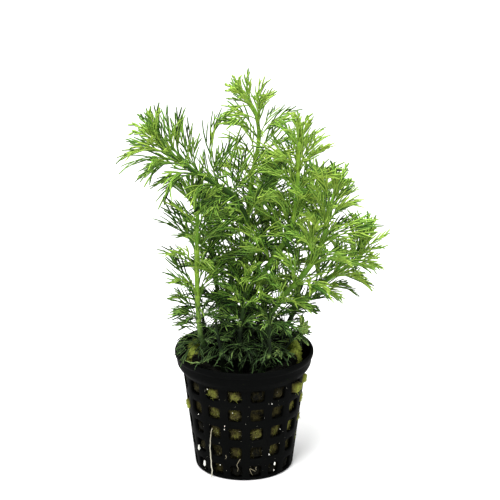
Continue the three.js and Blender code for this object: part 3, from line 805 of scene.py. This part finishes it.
def drawn_in(leaf):
    """The leaf, made smaller where its tip would stand outside the bunch's outline."""
    for size in (1, 0.93, 0.86, 0.79, 0.72, 0.65, 0.58):
        arm = (leaf["tip"] - leaf["base"]) * size
        if all(within_outline(leaf["base"] + arm * share) for share in (0.55, 0.8, 1.09)):
            break
    return {**leaf, "tip": leaf["base"] + arm,
            "bend": leaf["base"] + (leaf["bend"] - leaf["base"]) * size}


# The light of the bunch comes from above and a little from the front, and a leaf is shaded by those
# that stand on that side of it, within a reach.
LIGHT_FROM = np.array((0.0, -0.35, 0.94))
SHADING_REACH = 34

# Leaves get older over some YOUNG_DEPTH away from the growing tip. Those below OLD_BELOW get old and
# thin, fully so when OLD_DEPTH lower.
YOUNG_DEPTH = 16
OLD_BELOW = 60
OLD_DEPTH = 10


def shade_on(leaves):
    """How shaded each leaf is, up to 1."""
    middles = np.array([tuple((leaf["bend"] + leaf["tip"]) / 2) for leaf in leaves])
    crowding = []
    for middle in middles:
        away = middles - middle
        far = np.linalg.norm(away, axis=1)
        facing = (away @ LIGHT_FROM) / np.maximum(far, 1e-6)
        crowding.append(float(np.sum((far < SHADING_REACH) & (facing > 0.35))))
    return [clamp(share) for share in np.array(crowding) / np.percentile(crowding, 95)]


def stem_piece(name, shoot, lines, groups):
    """The stems of a shoot, a little thicker and lighter at each joint, and darker low down with
    painted shade under the leaves.
    """
    build = Build()
    for i, (line, radius) in enumerate(lines):
        steps = int(line.length / 1.3)
        joints = [share for (k, share) in groups if k == i]
        points, radii, tones = [], [], []
        for k in range(steps + 1):
            share = k / steps
            point = line.at(share)
            swell = sum(exp(-(((share - s) * line.length) / 1.1) ** 2) for s in joints)
            thick = 0.97 * radius * (1 - 0.4 * share**2) * (0.97 + 0.16 * swell)
            if share * line.length > line.length - 2:
                thick *= clamp((1 - share) * line.length / 2, 0.25)
            points.append(point)
            radii.append(thick)
            # Painted shade: the stem is dark below its dark_below height and lightens over the next 20
            # mm up.
            tones.append(
                shoot.stem * rise(point.z, shoot.dark_below, shoot.dark_below + 20)
                + 0.28 * shoot.fresh * rise(point.z, 85, 125)
                + (0.1 + 0.1 * rise(point.z, 60, 90)) * swell
                + 0.7 * exp(-((point.z - shoot.spot) ** 2))
            )
        build.tube(points, radii, tones, sides=10)
    build.finish("stem_" + name, STEM, ["shoot_" + name])


def leaves_piece(name, shoot, leaves, lines, shades, rng):
    """The leaves of a shoot, lighter near its growing tip, with painted light that makes them lighter
    high up and painted shade that makes them darker where other leaves stand between them and the
    light. Those near the pot are old, apart from a young crown's."""
    build = Build()
    for leaf, shade in zip(leaves, shades):
        from_tip = (1 - leaf["share"]) * lines[leaf["line"]][0].length
        young = exp(-from_tip / YOUNG_DEPTH)
        height = leaf["bend"].z
        tone = 0.36 + 0.18 * young * shoot.fresh
        # Painted light and shade: lighter from 48 mm up to 90 mm high, and darker by how much other
        # leaves shade the leaf.
        tone += 0.34 * rise(height, 48, 90) - 0.2 * shade
        tone += shoot.light + rng.uniform(-0.1, 0.1)
        if leaf["line"]:
            tone += 0.14
        low = 0 if name in CROWN_LOBES else clamp((OLD_BELOW - height) / OLD_DEPTH)
        if shoot.thin:
            low = max(low, shoot.thin)
            tone -= (0.14 + 0.16 * rng.random()) * low
        sag = shoot.sag * clamp(3 * (leaf["base"].x - leaf["tip"].x) / FULL_LENGTH)
        frond(build, leaf, rng, tone, clamp(1.25 * young - 0.15) * (1 - low), low, sag)
    for tone, route in EDGE_LEAVES.get(name, ()):
        edge_leaf(build, route, tone, rng)
    for foot, lobes in CROWN_LOBES.get(name, {}).items():
        for tone, middle, tip in lobes:
            crown_lobe(build, (foot, middle, tip), tone)
    build.finish("leaves_" + name, LEAF, ["shoot_" + name])


def bunch():
    grown = []
    for number, (name, shoot) in enumerate(SHOOTS.items()):
        rng = random.Random(100 + number)
        lines = lines_of(shoot)
        groups = whorls_of(leaves_of(name), lines)
        leaves = [drawn_in(leaf) for leaf in with_fillers(groups, lines, rng, shoot.room)]
        leaves += foot_leaves(name, lines[0][0])
        grown.append((name, shoot, lines, groups, leaves, rng))
    shades = iter(shade_on([leaf for *_, leaves, _ in grown for leaf in leaves]))
    for name, shoot, lines, groups, leaves, rng in grown:
        leaves_piece(name, shoot, leaves, lines, [next(shades) for _ in leaves], rng)
        stem_piece(name, shoot, lines, groups)


bunch()


# Net pot

# Windows are in rows from the bottom, and in columns that run anticlockwise seen from above,
# starting right of the front. Places on the profiles are a radius and a height.
PLASTIC_THICKNESS = 1.2
COLUMNS = 16
COLUMN_DEGREES = 360 / COLUMNS
LATTICE_TURN_DEGREES = 2
ROWS = 5
PITCH = 8.6
LOWEST = 3.95
WINDOW_HEIGHT = 5.4
WINDOW_DEGREES = 13.5
CELL_SEGMENTS = 6
WALL_FOOT = (19.9, 1.0)
SHOULDER = (24.8, 41.4)
RIM = (
    SHOULDER, (25.5, 42.1), (26.5, 43.3), (27.0, 44.2), (27.2, 45.2), (27.35, 47.0),
    (27.55, 47.45), (27.9, 47.75), (28.05, 48.4), (28.05, 49.2), (27.85, 49.75), (27.5, 49.98),
    (27.1, 49.9), (26.85, 49.5), (26.6, 47.5), (26.2, 45.0), (25.5, 43.7), (24.4, 42.4),
    (SHOULDER[0] - PLASTIC_THICKNESS, SHOULDER[1]),
)
# The floor has slots in a ring between two radii. Its middle is a disc with a tiny hub.
FLOOR_RING = (17.0, 6.0)
SLOT_MIDDLE = 11.5
SLOT_HALF_LENGTH = 3.5
HUB = 0.01
FLOOR_EDGE_INSIDE = (
    (WALL_FOOT[0] - PLASTIC_THICKNESS, WALL_FOOT[1]), (18.3, PLASTIC_THICKNESS),
    (FLOOR_RING[0], PLASTIC_THICKNESS),
)
FLOOR_EDGE_OUTSIDE = ((FLOOR_RING[0], 0.0), (18.6, 0.0), (19.3, 0.15), (19.75, 0.5), WALL_FOOT)
# How a window's edge is rounded: how much it widens, as a share of the most, at each depth.
WINDOW_WIDENING = (0.14, 0.08)
WINDOW_EDGE = ((1.0, 0.0), (0.4, 0.08), (0.08, 0.3), (0.0, 0.55), (0.1, 0.9), (0.5, 1.12),
               (1.0, PLASTIC_THICKNESS))


def wall_radius(z):
    return mix(WALL_FOOT[0], SHOULDER[0], (z - WALL_FOOT[1]) / (SHOULDER[1] - WALL_FOOT[1]))


def column_angle(column):
    return radians((column + 0.5) * COLUMN_DEGREES - 90 + LATTICE_TURN_DEGREES)


def on_wall(angle, z, depth):
    return polar(angle, wall_radius(z) - depth, z) * MM


def on_floor(angle, r, depth):
    return polar(angle, r, depth) * MM


def square_ring(segments):
    """Points round a square from -1 to 1, the same number on each side."""
    ring = []
    for k in range(4 * segments):
        side, step = divmod(k, segments)
        t = 2 * step / segments - 1
        ring.append(((t, -1), (1, t), (-t, 1), (-1, -t))[side])
    return ring


def rounded(point, power=7):
    """A point of the square, moved so that the square's corners are round."""
    x, y = point
    scale = (abs(x) ** power + abs(y) ** power) ** (1 / power)
    return x / scale, y / scale


def lattice_cell(bm, surface, cell, window):
    """One cell of the pot's lattice with a rounded window through the plastic."""
    (u0, u1, v0, v1), (uc, vc, hu, hv) = cell, window
    ring = square_ring(CELL_SEGMENTS)
    outer = [((u0 + u1) / 2 + x * (u1 - u0) / 2, (v0 + v1) / 2 + y * (v1 - v0) / 2)
             for x, y in ring]
    soft = [rounded(p) for p in ring]
    wider_u, wider_v = hu * WINDOW_WIDENING[0], hv * WINDOW_WIDENING[1]
    loops = [(outer, 0.0)]
    for share, depth in WINDOW_EDGE:
        half_u, half_v = hu + wider_u * share, hv + wider_v * share
        loops.append(([(uc + x * half_u, vc + y * half_v) for x, y in soft], depth))
    loops.append((outer, PLASTIC_THICKNESS))
    rings = [[bm.verts.new(surface(u, v, depth)) for u, v in points] for points, depth in loops]
    for quad in bands(rings):
        bm.faces.new(quad)


def sheet(bm, place_at, cells, flipped=False):
    """A grid of faces over a square from 0 to 1."""
    grid = [[bm.verts.new(place_at(i / cells, j / cells)) for i in range(cells + 1)]
            for j in range(cells + 1)]
    for lower, upper in zip(grid, grid[1:]):
        for i in range(cells):
            quad = (lower[i], lower[i + 1], upper[i + 1], upper[i])
            bm.faces.new(quad[::-1] if flipped else quad)


def solid_cell(bm, surface, cell):
    u0, u1, v0, v1 = cell
    for depth in (0.0, PLASTIC_THICKNESS):
        sheet(bm, lambda s, t: surface(mix(u0, u1, s), mix(v0, v1, t), depth), CELL_SEGMENTS, depth > 0)


def turned_profile(bm, profile, angles):
    for quad in bands([[bm.verts.new(polar(a, r, z) * MM) for a in angles] for r, z in profile]):
        bm.faces.new(quad)


def net_pot():
    bm = bmesh.new()
    half_window = radians(WINDOW_DEGREES / 2)
    half_column = radians(COLUMN_DEGREES / 2)
    angles = []
    for column in range(COLUMNS):
        middle = column_angle(column)
        for k in range(CELL_SEGMENTS):
            angles.append(middle + half_column * (2 * k / CELL_SEGMENTS - 1))
        sides = (middle - half_column, middle + half_column)
        for row in range(ROWS):
            z = LOWEST + row * PITCH
            low = WALL_FOOT[1] if row == 0 else z - PITCH / 2
            high = SHOULDER[1] if row == ROWS - 1 else z + PITCH / 2
            window = (middle, z, half_window, WINDOW_HEIGHT / 2)
            lattice_cell(bm, on_wall, (*sides, low, high), window)
        if column % 2 == 0:
            slot = (middle, SLOT_MIDDLE, half_window, -SLOT_HALF_LENGTH)
            lattice_cell(bm, on_floor, (*sides, *FLOOR_RING), slot)
        else:
            solid_cell(bm, on_floor, (*sides, *FLOOR_RING))
    for profile in (RIM, FLOOR_EDGE_INSIDE, FLOOR_EDGE_OUTSIDE):
        turned_profile(bm, profile, angles)
    for z, order in ((0.0, 1), (PLASTIC_THICKNESS, -1)):
        turned_profile(bm, [(HUB, z), (FLOOR_RING[1] / 2, z), (FLOOR_RING[1], z)][::order], angles)
        bm.faces.new([bm.verts.new(polar(a, HUB, z) * MM) for a in angles][::-order])
    bmesh.ops.remove_doubles(bm, verts=bm.verts, dist=2e-6)
    bmesh.ops.dissolve_degenerate(bm, edges=bm.edges, dist=1e-7)
    bmesh.ops.recalc_face_normals(bm, faces=bm.faces)
    mesh = bpy.data.meshes.new("pot_basket")
    bm.to_mesh(mesh)
    bm.free()
    place("pot_basket", mesh, PLASTIC, ["net_pot"])


net_pot()


# Mineral wool

# How far the wool stands past the plastic where it presses through, by (row, column).
TUFTS = {(4, 2): 2.8, (4, 3): 1.8, (3, 3): 1.1, (2, 3): 0.9, (1, 3): 0.4, (3, 12): 1.6,
         (4, 14): 0.4, (4, 15): 0.5, (3, 15): 0.3, (2, 0): 0.3, (3, 6): 1.0, (4, 8): 0.8,
         (2, 9): 0.7}
# The tuft that hangs down out of its window, by how much of the window's half height.
HANGING = {(3, 12): 0.75}
# Windows where the wool is a little dull, and where it is dark, darkest in the bottom row.
FAIR = {(3, 14), (2, 14), (2, 15), (2, 1), (1, 15), (2, 2), (3, 2)}
DARK_WINDOWS = {(4, 0), (4, 1), (1, 0), (4, 13), (1, 13), (2, 13), (0, 13), (0, 15), (0, 0),
          (0, 1), (0, 2), (4, 12), (3, 12), (1, 12), (0, 12), (0, 3)}
# How light the wool of a window is beside what is usual, and the side where it has torn away: its
# direction and how much of the window it leaves.
SHADES = {(4, 14): 0.04, (3, 15): -0.03, (2, 14): -0.04, (2, 0): -0.04, (2, 15): -0.02,
          (3, 13): -0.04, (1, 14): -0.04, (1, 15): 0.02, (1, 1): 0.06}
TORN = {(4, 14): (225, 0.45), (3, 14): (200, 0.75), (2, 14): (0, 0.15), (2, 15): (300, 0.8),
        (1, 15): (20, 0.8), (2, 1): (130, 0.6), (3, 1): (60, 0.4), (1, 14): (180, 0.4),
        (3, 2): (180, 0.3), (2, 2): (180, 0.3), (3, 0): (90, -0.2)}
WOOL_CLEARANCE = 0.6
WOOL_UNDERSIDE = (1.0, 16.6)
WOOL_UNDERSIDE_Z = 1.7
WOOL_MOUTH = (18.2, 1.0)
WOOL_FLOOR_RADIUS = 17.0
WOOL_BOTTOM_Z = 1.9
WOOL_SHOULDER_Z = 40.6
WOOL_MIDDLE_Z = 41.0
WOOL_TOP_Z = 51.0
RING_RADIUS = 20.8
RING_HALF_WIDTH = 2.0
RING_DIP = 0.55
# The rings of points from the underside over the outside and the curled edge into the mouth.
WOOL_AROUND = 384
WOOL_RINGS = (("floor", 6), ("wall", 110), ("ring", 26), ("mouth", 12))
FIBRES = 3600
FIBRE_LENGTHS = (0.8, 2.2)
FIBRE_LIFTS = (0.15, 0.75)
FIBRE_WIDTHS = (0.11, 0.2)


def window_at(angle, z):
    """(row, column, distance from the middle as a share of the half width, and of the height)."""
    bearing = degrees(angle) + 90 - LATTICE_TURN_DEGREES
    column = round(bearing / COLUMN_DEGREES - 0.5) % COLUMNS
    row = int(clamp(round((z - LOWEST) / PITCH), 0, ROWS - 1))
    turn = (bearing - (column + 0.5) * COLUMN_DEGREES + 180) % 360 - 180
    above = z - (LOWEST + row * PITCH)
    return row, column, turn / (WINDOW_DEGREES / 2), above / (WINDOW_HEIGHT / 2)


def window_wool(row, column):
    """How far the wool in a window stands past the plastic's inside, and how light it is."""
    whim = noise.noise(Vector((row * 3.1, column * 1.7, 0)))
    shade = SHADES.get((row, column), 0)
    if (row, column) in TUFTS:
        bulge = TUFTS[row, column]
        # Painted light: a tuft is the lighter the further it stands out of its window.
        return bulge + 1.0, mix(0.37, 0.64, clamp((bulge - 0.5) / 0.8)) + shade
    if (row, column) in DARK_WINDOWS:
        # Dark wool, darker still in the bottom row.
        return 1.1, (0.05 if row else -0.1) + 0.08 * whim
    if (row, column) in FAIR:
        return 0.5, 0.33 + 0.08 * whim + shade
    return -0.3, 0.19 + 0.1 * whim + shade


def wool_outside(angle, z):
    """The wool's radius and tone at a place on its outside."""
    inner = wall_radius(z) - PLASTIC_THICKNESS
    row, column, x, y = window_at(angle, z)
    y += HANGING.get((row, column), 0)
    spot = polar(angle, 1) * inner + UP * z
    ragged = 0.2 * noise.noise(spot * 0.55) + 0.08 * noise.noise(spot * 1.4)
    inside = hypot(x, y) * 0.55 + max(abs(x), abs(y)) * 0.45 + ragged
    if (row, column) in TORN:
        direction, kept = TORN[row, column]
        turn = radians(direction)
        inside += max(0.0, x * cos(turn) + y * sin(turn) - kept + ragged) * 2.5
    press = rise(1.08 - inside, 0, 0.6)
    reach, light = window_wool(row, column)
    ripple = noise.fractal(spot * 0.7, 0.75, 2.2, 5) * 0.38
    # Painted shade: the wool darkens towards the edge of its window and behind the plastic.
    return inner - WOOL_CLEARANCE + press * reach + ripple, mix(0.05, light, press)


def ring_top(angle):
    """The height of the roll's upper edge, which dips to the front and back."""
    return WOOL_MIDDLE_Z + (WOOL_TOP_Z - WOOL_MIDDLE_Z) * (1 - RING_DIP * sin(angle) ** 2)


def ring_shade(angle):
    """How much painted shade darkens the roll's edge under the leaves at the front and back of the
    mouth.
    """
    towards_back = sin(angle)
    return 1.6 * clamp(max(-0.34 - towards_back, towards_back - 0.48) / 0.12)


def wool_place(kind, t, angle):
    """A place on the roll and its tone. kind is the part of its surface, and t the share of it."""
    out = polar(angle, 1)
    if kind == "floor":
        r, z, tone = mix(*WOOL_UNDERSIDE, t), WOOL_UNDERSIDE_Z, 0.3
    elif kind == "wall":
        z = mix(WOOL_BOTTOM_Z, WOOL_SHOULDER_Z, t)
        r, tone = wool_outside(angle, z)
        r = min(r, mix(WOOL_FLOOR_RADIUS, 40, clamp((z - WOOL_BOTTOM_Z) / 3)))
        tone += 0.12 * noise.noise(out * 9 + UP * (z * 0.35))
    elif kind == "ring":
        turn = pi * t
        wave = noise.noise(out * 2.2 + UP * 3)
        square = copysign(abs(cos(turn)) ** 0.55, cos(turn))
        r = RING_RADIUS + (RING_HALF_WIDTH + 0.6 * wave) * square
        z = mix(WOOL_SHOULDER_Z, ring_top(angle) + 0.8 * wave, sin(turn) ** 0.5)
        # Painted light makes the roll's top lighter than its sides, and ring_shade paints shade on its
        # front and back.
        tone = 0.68 + 0.1 * sin(turn) - ring_shade(angle)
    else:
        # The middle of the mouth is very dark: painted shade under the leaves, on dark wet wool.
        r, z, tone = mix(*WOOL_MOUTH, t), mix(WOOL_SHOULDER_Z, WOOL_MIDDLE_Z, t), -0.6
    spot = out * r + UP * z
    rough = noise.fractal(spot * 1.1, 0.6, 2.1, 5)
    if kind == "ring":
        spot = spot + out * (rough * 1.2)
        spot.z += 0.3 * noise.noise(spot * 0.9 + Vector((7, 0, 0)))
    if kind == "mouth":
        spot.z += 0.8 * rough
    return spot, tone + 0.05 * rough


def wool_roll():
    build = Build()
    rings = []
    for kind, count in WOOL_RINGS:
        for k in range(count):
            ring = [wool_place(kind, k / count, 2 * pi * j / WOOL_AROUND)
                    for j in range(WOOL_AROUND)]
            rings.append([build.add(point, tone) for point, tone in ring])
    build.faces += [*bands(rings), rings[0][::-1], rings[-1]]
    build.finish("wool_roll", WOOL, ["mineral_wool"])


def edge_fibre(rng):
    """A fibre's foot on the roll's edge, the direction out of the wool there, and its tone."""
    a = rng.uniform(0, 2 * pi)
    turn = rng.uniform(0.12, 0.88) * pi
    out = polar(a, 1)
    r = RING_RADIUS + (RING_HALF_WIDTH - 0.1) * cos(turn)
    z = mix(WOOL_MIDDLE_Z, ring_top(a), sin(turn) ** 0.5) - 0.1
    up = (out * cos(turn) + UP * sin(turn)).normalized()
    return out * r + UP * z, up, 0.66 - ring_shade(a)


def window_fibre(rng):
    """The same for a fibre in a window. Most of those in the dark windows are left out."""
    column = rng.randrange(COLUMNS)
    row = rng.randrange(ROWS)
    if (row, column) in DARK_WINDOWS and rng.random() < 0.8:
        return None
    x, y = rng.uniform(-0.9, 0.9), rng.uniform(-0.9, 0.9)
    a = column_angle(column) + radians(WINDOW_DEGREES / 2 * x)
    z = LOWEST + row * PITCH + WINDOW_HEIGHT / 2 * y
    r, tone = wool_outside(a, z)
    out = polar(a, 1)
    return out * (r - 0.1) + UP * z, out, tone + 0.1


def wool_fibres():
    """Single fibres that stand out of the wool in the windows and round the roll's edge."""
    rng = random.Random(7)
    build = Build()
    for _ in range(FIBRES):
        found = edge_fibre(rng) if rng.random() < 0.25 else window_fibre(rng)
        if not found:
            continue
        start, up, tone = found
        lay = Vector((rng.gauss(0, 1), rng.gauss(0, 1), rng.gauss(0, 1)))
        lay = (lay - up * lay.dot(up)).normalized()
        length = rng.uniform(*FIBRE_LENGTHS)
        lift = rng.uniform(*FIBRE_LIFTS)
        middle = start + (lay + up * lift).normalized() * length * 0.5
        end = middle + (lay + up * (lift - 0.5)).normalized() * length * 0.5
        width = rng.uniform(*FIBRE_WIDTHS)
        tones = [tone, tone + 0.06, tone + 0.12]
        build.thread([start, middle, end], [width, width * 0.9], up, tones, flat=0.9)
    build.finish("wool_fibres", WOOL, ["mineral_wool"])


wool_roll()
wool_fibres()


# Roots and grit

LONG_ROOT = ((-12.7, -18.3, 22.6), (-13.2, -19.6, 21), (-13.6, -19.1, 14), (-13.2, -18.6, 7),
             (-13, -18, 0.8))
# Short roots and crumbs of white grit cling to the outside of the pot's front. A root has places
# across and up, and a crumb a place across, a height and a length.
SHORT_ROOTS = (
    ((-1.6, 10.2), (-2.4, 8.6), (-2.9, 7.2), (-2.4, 5.8), (-2.6, 4.4)),
    ((2.2, 5.6), (2.6, 4.2), (3.3, 2.6)),
    ((2.4, 5.7), (3.4, 5.1), (4.6, 4.3)),
    ((4.9, 6.3), (4.6, 5.6), (4.9, 4.8)),
    ((-7.4, 11.4), (-7.1, 10.4), (-7.6, 9.6)),
)
CRUMBS = ((-18.3, 10.6, 2.3), (-16, 4.5, 2.6), (-14.6, 40.2, 0.6), (11.1, 34.4, 0.5),
          (10, 11.2, 0.7), (12.3, 6.2, 1.5), (12, 3.2, 0.7), (-7.8, 24.8, 0.5), (-7.8, 23.3, 0.5),
          (-4.6, 31.3, 0.4), (-18.3, 26.8, 0.4), (14.4, 21.7, 0.4), (-9.7, 6.3, 0.5))
CRUMB_SHAPE = (0.35, 0.85, 1.0, 0.9, 0.7, 0.3)
SPECKS = 60
LONG_ROOT_RADII = (0.17, 0.24)
SHORT_ROOT_RADII = (0.12, 0.06)


def on_pot(x, z, lift):
    """A place on the outside of the pot's front."""
    r = wall_radius(max(z, WALL_FOOT[1])) + lift
    return Vector((x, -sqrt(r * r - x * x), z))


def long_root(steps=40):
    line = Line(LONG_ROOT)
    build = Build()
    points, radii, tones = [], [], []
    for k in range(steps + 1):
        wave = 0.35 * noise.noise(Vector((k * 0.16, 0, 1)))
        points.append(line.at(k / steps) + Vector((wave, 0, 0)))
        radii.append(mix(*LONG_ROOT_RADII, k / steps))
        tones.append(0.05 + 0.3 * k / steps + 0.2 * noise.noise(Vector((k * 0.3, 5, 0))))
    build.tube(points, radii, tones, wobble=0.25)
    build.finish("root_long_thread", ROOT, ["root_long"])


def short_roots(steps=16):
    build = Build()
    for places in SHORT_ROOTS:
        line = Line([on_pot(x, z, 0.1) for x, z in places], samples=60)
        shares = [k / steps for k in range(steps + 1)]
        build.tube([line.at(t) for t in shares], [mix(*SHORT_ROOT_RADII, t) for t in shares],
                   [-0.05] * len(shares), sides=6, wobble=0.3)
    build.finish("roots_short", ROOT, [])


def grit():
    """Small irregular lumps, some of them long."""
    rng = random.Random(11)
    places = list(CRUMBS)
    for _ in range(SPECKS):
        places.append((rng.uniform(-17, 17), rng.uniform(1.5, 40), rng.uniform(0.1, 0.22)))
    build = Build()
    for x, z, length in places:
        middle = on_pot(x, z, 0.05)
        out = Vector((middle.x, middle.y, 0)).normalized()
        lie = (UP + Vector((-out.y, out.x, 0)) * rng.uniform(-0.7, 0.3)).normalized()
        wide = length * (0.2 if length > 1.4 else 0.36)
        points = [middle + lie * length * (k / 5 - 0.5) for k in range(6)]
        radii = [wide * size * rng.uniform(0.8, 1.2) for size in CRUMB_SHAPE]
        tone = rng.uniform(0.7, 0.95) if length > 0.35 else rng.uniform(0.0, 0.5)
        build.tube(points, radii, [tone] * 6, sides=7, wobble=0.8)
    build.finish("grit_crumbs", ROOT, [])


long_root()
short_roots()
grit()


# Studio

# The camera looks at a target from the front and a little above. Its lens is worked out from the
# focal length in pixels of a picture of PICTURE_PIXELS.
CAMERA_DISTANCE = 900.0
CAMERA_ELEVATION = radians(19.677)
TARGET = Vector((2.362, 0, 91.78))
FOCAL_PIXELS = 2262.75
PICTURE_PIXELS = 500
SENSOR = 36.0
# The floor's half width in metres, and the number of its cells each way.
FLOOR_HALF = 6
FLOOR_CELLS = 24
LIGHT_TARGET = Vector((0, 0, 0.09))


def show(thing, name, location, direction):
    """Puts a camera or light into the scene, looking in a direction."""
    shown = bpy.data.objects.new(name, thing)
    shown.location = location
    shown.rotation_mode = "QUATERNION"
    shown.rotation_quaternion = direction.to_track_quat("-Z", "Y")
    scene.collection.objects.link(shown)
    return shown


def studio_camera():
    data = bpy.data.cameras.new("camera")
    data.sensor_width = SENSOR
    data.lens = SENSOR * FOCAL_PIXELS / PICTURE_PIXELS
    data.clip_start = 0.01
    data.clip_end = 20
    back = Vector((0, -cos(CAMERA_ELEVATION), sin(CAMERA_ELEVATION)))
    place_at = (TARGET + back * CAMERA_DISTANCE) * MM
    scene.camera = show(data, "camera", place_at, -back)


def studio_floor():
    bm = bmesh.new()
    sheet(bm, lambda s, t: (mix(-FLOOR_HALF, FLOOR_HALF, s), mix(-FLOOR_HALF, FLOOR_HALF, t), 0),
          FLOOR_CELLS)
    mesh = bpy.data.meshes.new("studio_floor")
    bm.to_mesh(mesh)
    bm.free()
    n = Nodes("studio_floor", 0.1)
    colour = n.ramp(n.noise(3), (0.0, 0.86, 0.86, 0.86), (1.0, 0.9, 0.9, 0.9))
    n.fill(n.shader, {"Base Color": colour, "Roughness": 0.9})
    mesh.materials.append(n.material)
    floor = bpy.data.objects.new("studio_floor", mesh)
    scene.collection.objects.link(floor)


def soft_light(name, place_at, size, power):
    """A round lamp of a size in metres and a power in watts."""
    data = bpy.data.lights.new(name, "AREA")
    data.shape = "DISK"
    data.size = size
    data.energy = power
    show(data, name, place_at, LIGHT_TARGET - Vector(place_at))


def studio_air():
    world = bpy.data.worlds.new("studio")
    world.use_nodes = True
    background = world.node_tree.nodes["Background"]
    background.inputs["Color"].default_value = (1, 1, 1, 1)
    background.inputs["Strength"].default_value = 0.5
    scene.world = world
    scene.view_settings.view_transform = "Standard"


studio_camera()
studio_floor()
soft_light("key", (-0.18, -0.65, 1.3), 0.5, 20)
soft_light("fill", (0.9, -0.5, 0.8), 0.9, 3)
soft_light("top", (0, 0.1, 1.6), 1.5, 28)
studio_air()
